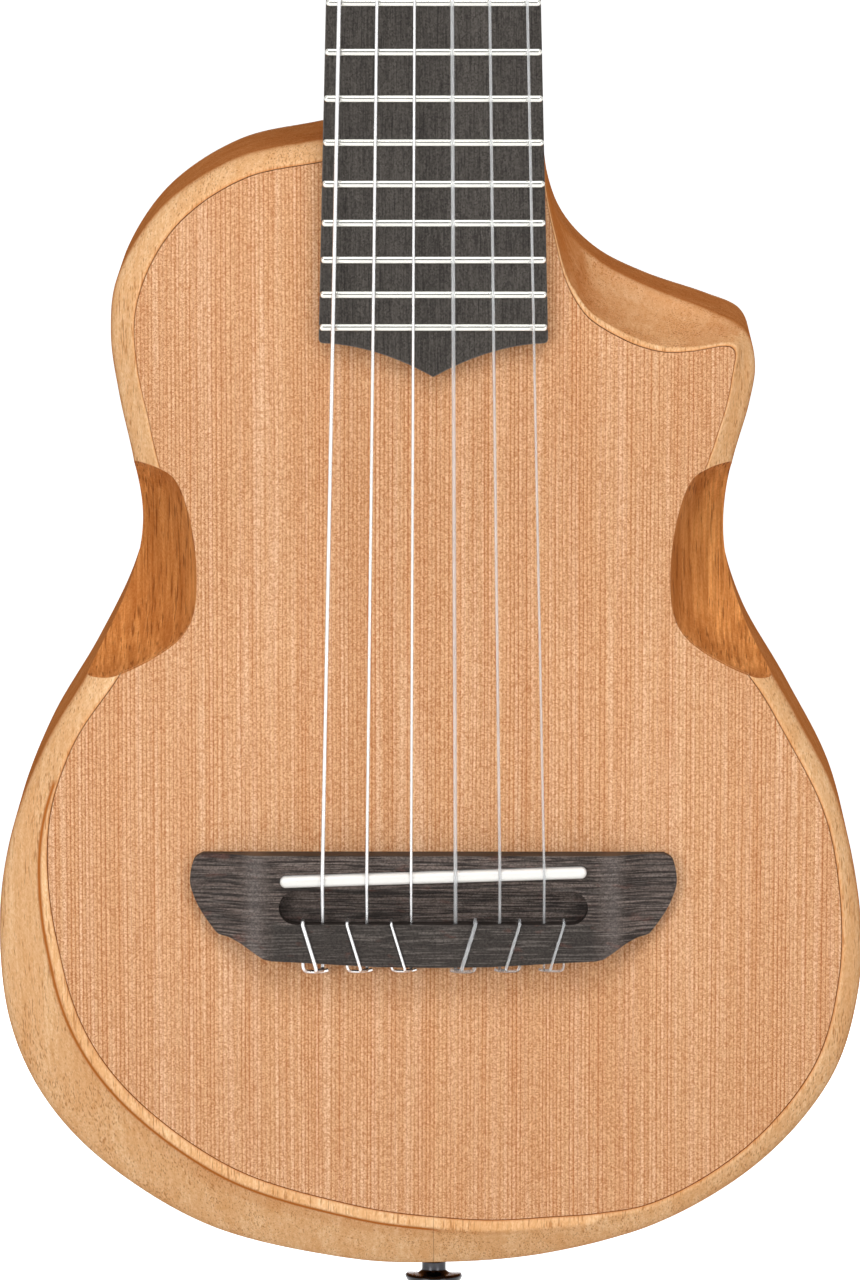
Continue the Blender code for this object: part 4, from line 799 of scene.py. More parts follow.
# Bridge. One block of the same dark hardwood as the board, glued to the top: thin wings that swell up
# to a level middle, a slot for the saddle, a routed channel behind it and the drilled tie block.
# The middle is polished smooth, the wings and the channel show their pores.

BRIDGE_HEIGHT = 0.0085
WING_HEIGHT = 0.0036
WING_START = 0.045
WING_END = 0.0585
CHANNEL_WIDTH = 0.0089
CHANNEL_LENGTH = 0.0812
CHANNEL_FLOOR = 0.0028
CHANNEL_MIDDLE = -0.0083
TIE_FACE = CHANNEL_MIDDLE - CHANNEL_WIDTH / 2
TIE_BACK = -0.0242
TIE_HOLE = 0.0020
TIE_HOLE_HEIGHT = 0.0050
TIE_SPACING = 0.0052
# Half of the bridge seen from the front: metres from the centre line and from the saddle line.
BRIDGE_EDGE = (
    (0.0606, 0.0055), (0.0629, 0.0038), (0.0640, -0.0011), (0.0633, -0.0050), (0.0612, -0.0096),
    (0.0575, -0.0149), (0.0560, -0.0160), (0.0536, -0.0166), (0.0505, -0.0181), (0.0468, -0.0206),
    (0.0446, -0.0220), (0.0425, -0.0225), (0.0360, -0.0228), (0.0150, -0.0240),
)
SADDLE_SPREAD = 0.0582
SADDLE_LENGTH = 0.0805
SADDLE_THICKNESS = 0.003
SADDLE_SLOT_DEPTH = 0.004
SADDLE_TILT = 0.0026
# The same, turned along the saddle.
SADDLE_LINE = at(0, 0, SADDLE_Z) @ Matrix.Rotation(-math.asin(SADDLE_TILT / SADDLE_LENGTH), 4, "Y") @ FACING


def arc(middle, radius, start, end, count):
    angles = np.radians(np.linspace(start, end, count))
    return [(middle[0] + radius * math.cos(a), middle[1] + radius * math.sin(a)) for a in angles]


def rounded_slot(x_low, x_high, y_low, y_high):
    """A slot along Y with round ends."""
    radius = (x_high - x_low) / 2
    middle = (x_low + x_high) / 2
    return (arc((middle, y_high - radius), radius, 0, 180, 17)
            + arc((middle, y_low + radius), radius, 180, 360, 17))


def mirrored(half):
    """An outline from its treble half, which meets the centre line once."""
    return half + [(-x, y) for x, y in reversed(half) if x]


def bridge_finish(name, corner_shade=0.0):
    """Dark grain across the bridge, calm on the polished middle and on the shoulders of the wings, which are
    painted paler too: a painted highlight where the wings curve over.

    The last argument is how much darker it is: painted shade along the eased corners, for a dark outline round
    the bridge.
    """
    wood = Finish(name, 0.45, Specular_IOR_Level=0.2)
    bent = wood.swayed(wood.place, "Z", wood.cloud(wood.place, (6, 20, 30), 1.0), 0.003)
    across = wood.put("SeparateXYZ", {0: wood.place})
    reach = wood.maths("ABSOLUTE", across["X"])
    from_shoulder = wood.maths("ABSOLUTE", wood.maths("SUBTRACT", reach, 0.0468))
    # The shoulders of the wings: smoother, and paler as a painted highlight along the curve.
    smooth = wood.ramp(from_shoulder, 0.0012, 0.0042, 1.0, 0.0)
    tie_line = SADDLE_Z + TIE_FACE
    tie_block = wood.ramp(across["Z"], tie_line - 0.0002, tie_line + 0.0004, 1.0, 0.0)
    polished = wood.times(tie_block, wood.ramp(reach, 0.0415, 0.0460, 1.0, 0.0))
    calm = wood.maths("MAXIMUM", smooth, polished)
    broad = wood.patches(bent, (5, 60, 190), 0.36, 0.64, 3.0)
    fine = wood.patches(bent, (26, 60, 1500), 0.40, 0.60, 2.0, 0.65)
    pore = wood.patches(bent, (75, 60, 2500), 0.46, 0.54, 2.0, 0.6)
    small = wood.patches(bent, (110, 80, 2900), 0.52, 0.66, 1.0)
    red = wood.patches(wood.place, (160, 160, 420), 0.62, 0.74)
    lines = wood.times(pore, wood.ramp(calm, 0, 1, 0.92, 0.25))
    pale = wood.times(small, wood.ramp(calm, 0, 1, 0.22, 0.26))
    colour = wood.laid((0.115, 0.088, 0.078),
                       (broad, 1.0, (0.190, 0.152, 0.136)), (smooth, 1.0, (0.135, 0.112, 0.104)),
                       (polished, 1.0, (0.044, 0.038, 0.034)), (fine, 0.50, (0.040, 0.031, 0.028)),
                       (lines, 1.0, (0.020, 0.015, 0.013)), (pale, 1.0, (0.30, 0.265, 0.245)),
                       (red, 0.35, (0.15, 0.055, 0.040)))
    colour = wood.speckled(colour, wood.place, (2600, 2600, 2900), (0.62, 0.60, 0.58), (1.40, 1.38, 1.36))
    # Painted shade: walls turned away from the front are laid over nearly black.
    wall = wood.ramp(wood.facing(), 0.30, 0.55, 1.0, 0.0)
    colour = wood.laid(colour, (wall, 0.90, (0.022, 0.016, 0.013)), (corner_shade, 1.0, (0.030, 0.022, 0.019)))
    return wood.done(colour, wood.ramp(calm, 0, 1, 0.52, 0.38),
                     wood.maths("SUBTRACT", wood.times(fine, 0.3), lines), 0.00008, 0.8)


bridge_wood = bridge_finish("dark_hardwood_bridge")
# Painted shade for the bridge's eased corners.
bridge_corner = bridge_finish("dark_hardwood_bridge_corner_shade", 0.60)


def string_side(index):
    return -1 if index < 3 else 1


def tie_holes(index):
    x = string_x(index, SADDLE_SPREAD)
    return (x, x + string_side(index) * TIE_SPACING)


def saddle_bar(name, slack, levels):
    """A round-ended bar stood on edge, through levels of height and inset."""
    half = SADDLE_THICKNESS / 2 + slack
    reach = SADDLE_LENGTH / 2 + slack
    loop = rounded_slot(-half, half, -reach, reach)
    rings = []
    for level, narrow in levels:
        length, width = 1 - narrow / reach, 1 - narrow / half
        rings.append([SADDLE_LINE @ Vector((x * length, y * width, -FRONT + level)) for y, x in loop])
    return loft(name, rings)


half_edge = [*through_points(BRIDGE_EDGE[:9], 5), *BRIDGE_EDGE[9:], (0, TIE_BACK)]
edge_loop = [(x, SADDLE_Z + z) for x, z in mirrored(half_edge)]
bridge = plate("bridge_block", edge_loop, -FRONT + GLUE_LINE, -FRONT + BRIDGE_HEIGHT + 0.001, FACING)
wing = [(0, BRIDGE_HEIGHT)]
for share in np.linspace(0, 1, 25):
    fall = (BRIDGE_HEIGHT - WING_HEIGHT) * (3 * share**2 - 2 * share**3)
    wing.append((WING_START + (WING_END - WING_START) * share, BRIDGE_HEIGHT - fall))
wing += [(0.066, WING_HEIGHT), (0.066, GLUE_LINE)]
wing_loop = [(x, -FRONT + height) for x, height in mirrored(wing)]
upright = Matrix.Diagonal((1, -1, 1, 1))
work(bridge, plate("wings", wing_loop, SADDLE_Z - 0.03, SADDLE_Z + 0.012, upright), "INTERSECT")
channel_line = SADDLE_Z + CHANNEL_MIDDLE
channel = rounded_slot(channel_line - CHANNEL_WIDTH / 2, channel_line + CHANNEL_WIDTH / 2,
                       -CHANNEL_LENGTH / 2, CHANNEL_LENGTH / 2)
work(bridge, plate("channel", [(x, z) for z, x in channel], -FRONT + CHANNEL_FLOOR, -FRONT + 0.02, FACING))
slot_floor = BRIDGE_HEIGHT - SADDLE_SLOT_DEPTH
work(bridge, saddle_bar("saddle_slot", 0.00008, ((slot_floor, 0), (BRIDGE_HEIGHT + 0.004, 0))))
ease(coated(bridge, bridge_wood, bridge_corner), 0.00035, 3, 50, worn=1)
tie_middle = SADDLE_Z + (TIE_FACE + TIE_BACK) / 2
holes = [plug("tie_hole", at(x, FRONT - TIE_HOLE_HEIGHT, tie_middle), TIE_HOLE / 2, TIE_FACE - TIE_BACK + 0.003)
         for index in range(6) for x in tie_holes(index)]
work(bridge, gathered("tie_holes", holes))
show(bridge, bridge_wood, "bridge", level=True)

# Saddle. A bar of white bone stood in the bridge's slot, set a little slantwise so that the thick
# strings sound in tune. Its top is rounded over and its ends are round.

SADDLE_HEIGHT = 0.0112
CREST_EASE = 0.0013

levels = [(slot_floor + GLUE_LINE, 0)]
for lean in np.linspace(0, math.pi / 2, 7):
    levels.append((SADDLE_HEIGHT - CREST_EASE + CREST_EASE * math.sin(lean), 0.0011 * (1 - math.cos(lean))))
show(saddle_bar("saddle_bar", 0, levels), bone, "saddle", smooth=50)

# Strings. Three clear nylon strings and three with a nylon core wound in silvered wire. Each is tied
# round the block behind the saddle, its end curled and tucked under its own loop, then runs over
# saddle and nut, and is wound on its roller in the head.

STRING_NAMES = ("e6", "a5", "d4", "g3", "b2", "e1")
TIE_LEAN = 0.0017
HEAD_ANGLE = math.radians(12)
HEAD_START = NUT_Z + NUT_THICKNESS
HEAD_THICKNESS = 0.019
POST_DEPTH = HEAD_THICKNESS / 2
POSTS = (0.038, 0.073, 0.108)
HEAD = at(0, FRONT, HEAD_START) @ Matrix.Rotation(-HEAD_ANGLE, 4, "X")
ROLLER_WAIST = 0.0045
WINDING_TURNS = 2
WINDING_SPACE = 0.0005
WINDING_STARTS = (0.0187, 0.0130, 0.0094)
TURN_STEPS = 40
STRING_SIDES = 14
WIRE_PITCH = 0.00016


def tie_route(index, radius):
    """From the end of the knot back through the tie block, round it and out to the channel."""
    first, second = tie_holes(index)
    side = string_side(index)
    hole = TIE_HOLE_HEIGHT
    lip = TIE_HOLE / 2
    wrap = (radius + STRING_CLEARANCE) * 1.08
    tail = TIE_BACK - lip - radius
    curl = [
        (first - side * 0.0014, 0.0018, tail), (first + side * 0.0006, 0.0020, tail - 0.0004),
        (second - side * 0.0012, 0.0034, tail - 0.0002), (second - side * 0.0003, 0.0046, TIE_BACK - lip),
        (second, hole, TIE_BACK),
    ]
    route = [*through_points(curl, 5)]
    route += [(second, hole, TIE_BACK + (TIE_FACE - TIE_BACK) * share) for share in (0.35, 0.7, 0.97)]
    # Round the edges of the block: each bend's place, size and span in degrees.
    lean = first + side * TIE_LEAN
    for x, z, height, size, start, end, count in (
            (second, TIE_FACE, hole + lip, lip, -62, 0, 5), (second, TIE_FACE, BRIDGE_HEIGHT, wrap, 0, 90, 7),
            (lean, TIE_BACK, BRIDGE_HEIGHT, wrap, 90, 180, 7), (first, TIE_BACK, hole + lip, lip, 180, 262, 5)):
        route += [(x, up, along) for along, up in arc((z, height), size, start, end, count)]
    route.append((first, hole, TIE_FACE - 0.0004))
    return [Vector((x, FRONT - height, SADDLE_Z + z)) for x, height, z in route]


def winding(index, diameter, arrival):
    """The string from where it meets its roller and round it, turn beside turn, in the head's frame."""
    order = min(index, 5 - index)
    post = POSTS[order]
    radius = ROLLER_WAIST + GAP + diameter / 2
    span = Vector((arrival.y - POST_DEPTH, arrival.z - post))
    start = math.atan2(span.y, span.x) - math.acos(radius / span.length)
    pitch = (diameter + WINDING_SPACE) * (-1 if order == 0 else 1)
    points = []
    for turns in np.arange(TURN_STEPS * WINDING_TURNS + 1) / TURN_STEPS:
        angle = start - turns * math.tau
        x = string_side(index) * (WINDING_STARTS[order] + pitch * turns)
        points.append(Vector((x, POST_DEPTH + radius * math.cos(angle), post + radius * math.sin(angle))))
    return points


def tube(name, points, radius):
    """A round string along its route, with its length and girth laid out for the winding wire."""
    steps = [points[min(i + 1, len(points) - 1)] - points[max(i - 1, 0)] for i in range(len(points))]
    across = steps[0].normalized().orthogonal().normalized()
    rings = []
    run = [0.0]
    for i, point in enumerate(points):
        ahead = steps[i].normalized()
        if i:
            run.append(run[-1] + (point - points[i - 1]).length)
            across = (across - ahead * across.dot(ahead)).normalized()
        up = ahead.cross(across)
        angles = [math.tau * k / STRING_SIDES for k in range(STRING_SIDES)]
        rings.append([point + radius * (across * math.cos(a) + up * math.sin(a)) for a in angles])
    builder = bmesh.new()
    layout = builder.loops.layers.uv.new("length")
    for number, face in enumerate(skin(builder, rings)):
        i, k = divmod(number, STRING_SIDES)
        for loop, (far, around) in zip(face.loops, ((i, k), (i, k + 1), (i + 1, k + 1), (i + 1, k))):
            loop[layout].uv = (run[far], around / STRING_SIDES)
    return mesh_object(name, builder)


def wound_finish():
    wire = Finish("silver_wound", 0.28, 1.0)
    layout = wire.put("SeparateXYZ", {0: wire.put("UVMap", uv_map="length")[0]})
    turns = wire.maths("ADD", wire.maths("DIVIDE", layout["X"], WIRE_PITCH), layout["Y"])
    ridge = wire.ramp(wire.maths("SINE", wire.times(turns, math.tau)), -1, 1)
    worn = wire.patches(wire.place, 420.0, 0.35, 0.65, 3.0)
    # The crests of the wraps are painted paler and the grooves between them darker: painted highlight and
    # painted shade along the winding.
    colour = wire.laid((0.66, 0.66, 0.67), (ridge, 1.0, (0.93, 0.93, 0.94)), (worn, 0.25, (0.80, 0.79, 0.77)))
    return wire.done(colour, wire.ramp(worn, 0, 1, 0.24, 0.36), ridge, 0.00003, 0.6)


def nylon_finish():
    clear = Finish("clear_nylon", 0.12, IOR=1.53, Transmission_Weight=0.72)
    cloudy = clear.patches(clear.place, (900, 900, 60), 0.35, 0.7)
    colour = clear.tint(cloudy, (0.93, 0.94, 0.95), (0.82, 0.84, 0.86))
    return clear.done(colour, clear.ramp(cloudy, 0, 1, 0.08, 0.18), cloudy, 0.000004, 0.3)


wound_string = wound_finish()
nylon_string = nylon_finish()
for index, (string_name, diameter) in enumerate(zip(STRING_NAMES, STRING_DIAMETERS)):
    radius = diameter / 2
    x = string_x(index, SADDLE_SPREAD)
    height = SADDLE_HEIGHT + radius + STRING_CLEARANCE * 0.3
    over_saddle = Vector((x, FRONT - height, SADDLE_Z + SADDLE_TILT * x / SADDLE_LENGTH))
    in_nut = over_nut(index)
    leave = in_nut + Vector((0, 0.0004, NUT_THICKNESS / 2 + 0.0008))
    behind = over_saddle + Vector((0, 0.0003, -0.0018))
    route = tie_route(index, radius)
    route += [behind.lerp(route[-1], 0.02), behind, over_saddle + Vector((0, 0.00006, -0.0007)), over_saddle]
    route += [over_saddle.lerp(in_nut, share) for share in (0.01, 0.25, 0.5, 0.75, 0.99)]
    route += [in_nut, in_nut + Vector((0, 0.00012, 0.0018)), leave]
    route += [HEAD @ point for point in winding(index, diameter, HEAD.inverted() @ leave)]
    material, slot = (wound_string, "silver_wound") if index < 3 else (nylon_string, "clear_nylon")
    string = tube(f"played_string_{string_name}", route, radius)
    show(string, material, f"string_{string_name}", smooth=60)

# Neck. Heel, shaft and slotted head are one piece of reddish hardwood, shaped by hand: a heel that
# sweeps into a round-backed shaft, and a head leaned back behind the nut with two long slots.

NECK_DEPTH = 0.018
HEEL_DEPTH = 0.060
HEEL_LENGTH = 0.040
HEAD_LENGTH = 0.147
HEAD_HALF = 0.031
RIB_HALF = 0.0065
SLOT_WIDTH = 0.014
SLOT_START = 0.016
SLOT_END = 0.121
ROLLER_RADIUS = 0.005
ROLLER_INNER_END = 0.003
BORE_SLACK = 0.00015
ALONG_X = Matrix.Rotation(math.pi / 2, 4, "Y")
ALONG_Y = Matrix.Rotation(-math.pi / 2, 4, "X")


def neck_ring(half_width, depth, roundness, place):
    """A cross section of the neck: flat under the board and round behind."""
    ring = []
    for angle in np.linspace(0, math.pi, 49):
        x = half_width * math.copysign(abs(math.cos(angle)) ** roundness, math.cos(angle))
        ring.append(place @ Vector((x, depth * math.sin(angle) ** roundness, 0)))
    return ring


def neck_shaft():
    """The heel, the shaft up to the nut, and the first of the head's back."""
    seat = BODY_TOP + 0.0001
    rings = []
    for share in np.linspace(0, 1, 25):
        z = seat + HEEL_LENGTH * share
        depth = NECK_DEPTH + (HEEL_DEPTH - NECK_DEPTH) * (1 - share) ** 2.2 + 0.0015 * share * (1 - share)
        rings.append(neck_ring(board_half_width(z) - GAP, depth, 0.8 + 0.1 * share, at(0, FRONT, z)))
    for z in np.linspace(seat + HEEL_LENGTH, NUT_Z - 0.006, 9)[1:]:
        rings.append(neck_ring(board_half_width(z) - GAP, NECK_DEPTH, 0.9, at(0, FRONT, z)))
    rings.append(neck_ring(NUT_WIDTH / 2 - GAP, NECK_DEPTH, 0.85, at(0, FRONT, HEAD_START)))
    rings.append(neck_ring(NUT_WIDTH / 2 - 0.001, NECK_DEPTH - 0.002, 0.8, HEAD @ at(0, 0.0005, 0.007)))
    return loft("neck_and_head", rings)


root = NUT_WIDTH / 2
flare = through_points([(root, 0), (root + 0.0006, 0.005), (HEAD_HALF - 0.0015, 0.0125), (HEAD_HALF, 0.018)], 8)
crown = through_points([(HEAD_HALF, HEAD_LENGTH - 0.016), (HEAD_HALF - 0.005, HEAD_LENGTH - 0.008),
                        (HEAD_HALF * 0.45, HEAD_LENGTH - 0.002), (0, HEAD_LENGTH)], 10)
head_slot = rounded_slot(RIB_HALF, RIB_HALF + SLOT_WIDTH, SLOT_START, SLOT_END)
head_blank = plate("head", mirrored([*flare, *crown]), -HEAD_THICKNESS, 0, HEAD @ FACING,
                   [head_slot, [(-x, z) for x, z in head_slot]])
ease(head_blank, 0.0006, 3, 50)
neck = coated(neck_shaft(), reddish_wood)
work(neck, head_blank, "UNION")
work(neck, box_shape("tenon", TENON_LOW, TENON_HIGH), "UNION")
bores = []
for middle in (-(HEAD_HALF + ROLLER_INNER_END) / 2, (HEAD_HALF + ROLLER_INNER_END) / 2):
    for post in POSTS:
        bores.append(plug("bore", HEAD @ at(middle, POST_DEPTH, post) @ ALONG_X, ROLLER_RADIUS + BORE_SLACK,
                          HEAD_HALF - ROLLER_INNER_END + 0.0006, 32))
work(neck, gathered("bores", bores))
show(neck, reddish_wood, "neck")

# Tuning machines. Three to a side on one nickelled plate, screwed to the head's edge. Each knob turns
# a steel worm held between two lugs, and the worm turns a slant-toothed brass wheel on the end of the
# string's roller, fourteen turns to one.

PLATE_INNER = HEAD_HALF + GAP
PLATE_OUTER = PLATE_INNER + 0.0012
PLATE_WIDTH = 0.015
PLATE_END = 0.015
GEAR_MODULE = 0.0008
WHEEL_TEETH = 14
WHEEL_THICKNESS = 0.004
WORM_PITCH_RADIUS = 0.0025
WORM_OUTER_RADIUS = 0.0032
WORM_SHAFT_RADIUS = 0.0015
WORM_LENGTH = 0.0084
TOOTH_SHARE = 0.36
LUG_THICKNESS = 0.0016
LUG_REACH = 0.0028
KNOB_LENGTH = 0.017
KNOB_WIDTH = 0.016
KNOB_THICKNESS = 0.0072
KNOB_CLEARANCE = 0.002
WHEEL_MIDDLE = PLATE_OUTER + WORM_OUTER_RADIUS + GAP
AXIAL_PITCH = math.pi * GEAR_MODULE
WHEEL_PITCH_RADIUS = GEAR_MODULE * WHEEL_TEETH / 2
WORM_OFFSET = WHEEL_PITCH_RADIUS + WORM_PITCH_RADIUS
WHEEL_TIP = WORM_OFFSET - WORM_SHAFT_RADIUS - GAP
WHEEL_ROOT = WORM_OFFSET - WORM_OUTER_RADIUS - GAP
LUG_OFFSET = WORM_LENGTH / 2 + GAP + LUG_THICKNESS / 2
SHAFT_HIGH = HEAD_THICKNESS - POST_DEPTH + KNOB_CLEARANCE + 0.006
PLATE_SCREW_RADIUS = 0.0024
THREAD_STEPS = 28

nickel_plate = metal("nickel_plate", (0.74, 0.73, 0.70), 0.20)
brass = metal("brass_wheel", (0.76, 0.58, 0.27), 0.26)


def pearl_finish():
    shell = Finish("pearl_plastic", 0.18, Coat_Weight=0.6, Coat_Roughness=0.08)
    swirl = shell.patches(shell.place, 190.0, 0.32, 0.68, 4.0, 0.6, 2.2)
    fine = shell.patches(shell.place, 800.0, 0.35, 0.65, 2.0, 0.5, 1.0)
    colour = shell.laid((0.86, 0.84, 0.78), (swirl, 1.0, (0.70, 0.66, 0.58)), (fine, 0.3, (0.92, 0.91, 0.88)))
    return shell.done(shell.rubbed(colour, (0.92, 0.91, 0.87), 0.4), shell.ramp(fine, 0, 1, 0.14, 0.24),
                      swirl, 0.00002, 0.15)


pearl = pearl_finish()


def turned(name, profile, steps=48):
    """A turned shape about local Z, from a profile of radius and height that meets the axis or closes."""
    builder = bmesh.new()
    angles = [math.tau * k / steps for k in range(steps)]
    rings = []
    for radius, height in profile:
        if radius < 1e-7:
            rings.append([builder.verts.new((0, 0, height))] * steps)
        else:
            ring = [(radius * math.cos(a), radius * math.sin(a), height) for a in angles]
            rings.append([builder.verts.new(point) for point in ring])
    for near, far in zip(rings, rings[1:]):
        for k in range(steps):
            j = (k + 1) % steps
            corners = list(dict.fromkeys((near[k], near[j], far[j], far[k])))
            if len(corners) > 2:
                builder.faces.new(corners)
    return mesh_object(name, builder)


def eased_profile(profile, radius=0.0003, count=3):
    """A turned profile with its corners rounded."""
    points = [np.array(p) for p in profile]
    path = [points[0]]
    for before, corner, after in zip(points, points[1:], points[2:]):
        near = min(radius, 0.4 * np.linalg.norm(before - corner), 0.4 * np.linalg.norm(after - corner))
        start, end = (corner + (p - corner) / np.linalg.norm(p - corner) * near for p in (before, after))
        path += bend(start, corner, end, count)
    return path + [points[-1]]


def flank_half(radius_step):
    """Half a tooth's width at a step outwards from the pitch radius, its flanks leaning by 20 degrees."""
    return AXIAL_PITCH * TOOTH_SHARE / 2 - radius_step * math.tan(math.radians(20))


def wheel_outline(turn):
    """The wheel's teeth, turned by an angle, with the middle of a gap at angle nought."""
    outline = []
    for tooth in range(WHEEL_TEETH):
        middle = math.tau * (tooth + 0.5) / WHEEL_TEETH + turn
        for radius, side in ((WHEEL_ROOT, -1), (WHEEL_TIP - 0.0002, -1), (WHEEL_TIP, -0.7), (WHEEL_TIP, 0.7),
                             (WHEEL_TIP - 0.0002, 1), (WHEEL_ROOT, 1)):
            angle = middle + side * flank_half(radius - WHEEL_PITCH_RADIUS) / radius
            outline.append((radius * math.cos(angle), radius * math.sin(angle)))
    return outline


def wheel_blank():
    lead = AXIAL_PITCH / (math.tau * WORM_PITCH_RADIUS)
    levels = np.linspace(-WHEEL_THICKNESS / 2, WHEEL_THICKNESS / 2, 5)
    return loft("wheel", [[(x, y, WHEEL_MIDDLE + z) for x, y in wheel_outline(lead * z / WHEEL_PITCH_RADIUS)]
                          for z in levels])


def worm_thread():
    """The worm's single thread, swept up a right-handed helix."""
    thread_root = WORM_SHAFT_RADIUS - 0.0003
    corners = ((thread_root, -1), (WORM_OUTER_RADIUS, -1), (WORM_OUTER_RADIUS, 1), (thread_root, 1))
    steps = round(THREAD_STEPS * (WORM_LENGTH - 0.0018) / AXIAL_PITCH)
    rings = []
    for step in range(steps + 1):
        angle = (step - steps / 2) * math.tau / THREAD_STEPS
        around = angle - math.pi / 2
        ring = []
        for radius, side in corners:
            height = AXIAL_PITCH * angle / math.tau + side * flank_half(radius - WORM_PITCH_RADIUS)
            ring.append((radius * math.cos(around), radius * math.sin(around), height))
        rings.append(ring)
    return loft("thread", rings)


def moved(obj, place):
    obj.data.transform(place)
    return obj


def cross_cut(screw, reach, half, low, high, turn=0.0):
    """Cuts the driver's cross into a screw's head."""
    for angle in (turn, turn + math.pi / 2):
        bar = box_shape("cross", (-reach, -half, low), (reach, half, high))
        work(screw, moved(bar, Matrix.Rotation(angle, 4, "Z")))


def tuner_plate(side, word):
    """The plate on one side of the head, with its lugs and its four screws."""
    half = PLATE_WIDTH / 2
    low = POSTS[0] - PLATE_END - WORM_OFFSET / 2
    high = POSTS[-1] + PLATE_END - WORM_OFFSET / 2
    flat = HEAD @ at(0, POST_DEPTH, 0) @ side_frame(side)
    holes = [arc((0, post), ROLLER_RADIUS / 2 + 0.0002, 0, 348, 30) for post in POSTS]
    outline = rounded_slot(-half, half, low, high)
    piece = plate(f"machine_plate_{word}", outline, PLATE_INNER, PLATE_OUTER, flat, holes)
    ease(piece, 0.00025, angle=50)
    bore = arc((WHEEL_MIDDLE, 0), WORM_SHAFT_RADIUS + BORE_SLACK, 0, 348, 30)
    foot = PLATE_OUTER - 0.0003
    tab = arc((WHEEL_MIDDLE, 0), LUG_REACH, -90, 90, 21) + [(foot, LUG_REACH), (foot, -LUG_REACH)]
    # A lug's local X points outwards to this side, its Z along the worm's shaft.
    lug_frame = Matrix(((side, 0, 0, 0), (0, 0, 1, 0), (0, -side, 0, 0), (0, 0, 0, 1)))
    lugs = []
    for post in POSTS:
        for depth in (POST_DEPTH - LUG_OFFSET, POST_DEPTH + LUG_OFFSET):
            place = HEAD @ at(0, depth, post - WORM_OFFSET) @ lug_frame
            lugs.append(plate("lug", tab, -LUG_THICKNESS / 2, LUG_THICKNESS / 2, place, [bore]))
    lugs = gathered("lugs", lugs)
    ease(lugs, 0.0002, angle=50)
    piece = gathered(f"machine_plate_{word}", [piece, lugs])
    show(piece, nickel_plate, f"tuner_plate_{word}", level=True)
    dome = eased_profile([(0, 0.0009), (PLATE_SCREW_RADIUS * 0.72, 0.0007), (PLATE_SCREW_RADIUS, 0.0), (0, 0)])
    heads = []
    for along in (low + 0.0035, POSTS[0] + 0.0185, POSTS[1] + 0.0185, high - 0.0035):
        head = turned("plate_screw", dome)
        cross_cut(head, 0.0013, 0.00022, 0.00035, 0.002, 0.5)
        heads.append(moved(head, flat @ at(0, along, PLATE_OUTER + 0.00001)))
    show(gathered(f"plate_screws_{word}", heads), nickel_plate)


for plate_side, plate_word in ((-1, "bass"), (1, "treble")):
    tuner_plate(plate_side, plate_word)

slot_outer = RIB_HALF + SLOT_WIDTH
wheel_end = WHEEL_MIDDLE + WHEEL_THICKNESS / 2
roller_neck = ROLLER_RADIUS / 2
roller_side = eased_profile([
    (0, wheel_end + 0.0012), (0.0026, wheel_end + 0.0009), (0.0032, wheel_end - 0.0005),
    (roller_neck, wheel_end - 0.0005), (roller_neck, PLATE_INNER - GAP), (ROLLER_RADIUS, PLATE_INNER - GAP),
    (ROLLER_RADIUS, slot_outer - 0.0005), (ROLLER_WAIST, slot_outer - 0.0010),
    (ROLLER_WAIST, RIB_HALF + 0.0010), (ROLLER_RADIUS, RIB_HALF + 0.0005),
    (ROLLER_RADIUS, ROLLER_INNER_END), (0, ROLLER_INNER_END),
])
shaft_low = -(LUG_OFFSET + LUG_THICKNESS)
shaft_side = eased_profile([(0, SHAFT_HIGH), (WORM_SHAFT_RADIUS, SHAFT_HIGH), (WORM_SHAFT_RADIUS, shaft_low),
                            (0, shaft_low)])
# The knob's sections outwards: how far along it, and its shares of the full width and thickness.
KNOB_SECTIONS = ((0, 0.36, 0.80), (0.10, 0.40, 0.86), (0.26, 0.70, 0.96), (0.42, 0.93, 1.0), (0.58, 1.0, 0.97),
                 (0.74, 0.95, 0.88), (0.90, 0.74, 0.68), (1.0, 0.40, 0.40))


def knob_shape(name):
    """The knob's oval body, from its collar out to its rounded end."""
    start = HEAD_THICKNESS - POST_DEPTH + KNOB_CLEARANCE
    sections = np.minimum(through_points(KNOB_SECTIONS, 6), 1.0)
    rings = []
    for along, wide, thick in (sections[0] * (1, 0.9, 0.9), *sections, sections[-1] * (1, 0.55, 0.55)):
        rings.append([(KNOB_THICKNESS / 2 * thick * math.cos(a), KNOB_WIDTH / 2 * wide * math.sin(a),
                       start + KNOB_LENGTH * along) for a in np.arange(40) * math.tau / 40])
    return loft(name, rings)


for index, string_name in enumerate(STRING_NAMES):
    side = string_side(index)
    post = POSTS[min(index, 5 - index)]
    outwards = Matrix(((0, 0, side, 0), (0, side, 0, 0), (-1, 0, 0, 0), (0, 0, 0, 1)))
    roller = turned(f"roller_{string_name}", roller_side)
    work(roller, wheel_blank(), "UNION")
    work(roller, plug("string_hole", at(0, 0, RIB_HALF + SLOT_WIDTH / 2) @ ALONG_X, 0.0009, 0.02))
    moved(roller, HEAD @ at(0, POST_DEPTH, post) @ outwards)
    show(roller, brass, f"tuner_roller_{string_name}", f"roller_{string_name}")
    shaft_place = HEAD @ at(side * WHEEL_MIDDLE, POST_DEPTH, post - WORM_OFFSET) @ ALONG_Y
    worm = turned(f"worm_{string_name}", shaft_side)
    work(worm, worm_thread(), "UNION")
    moved(worm, shaft_place)
    show(worm, nickel_plate, f"tuner_worm_{string_name}", f"knob_{string_name}")
    knob = moved(knob_shape(f"knob_{string_name}"), shaft_place)
    show(knob, pearl, f"tuner_knob_{string_name}", f"knob_{string_name}", smooth=50)

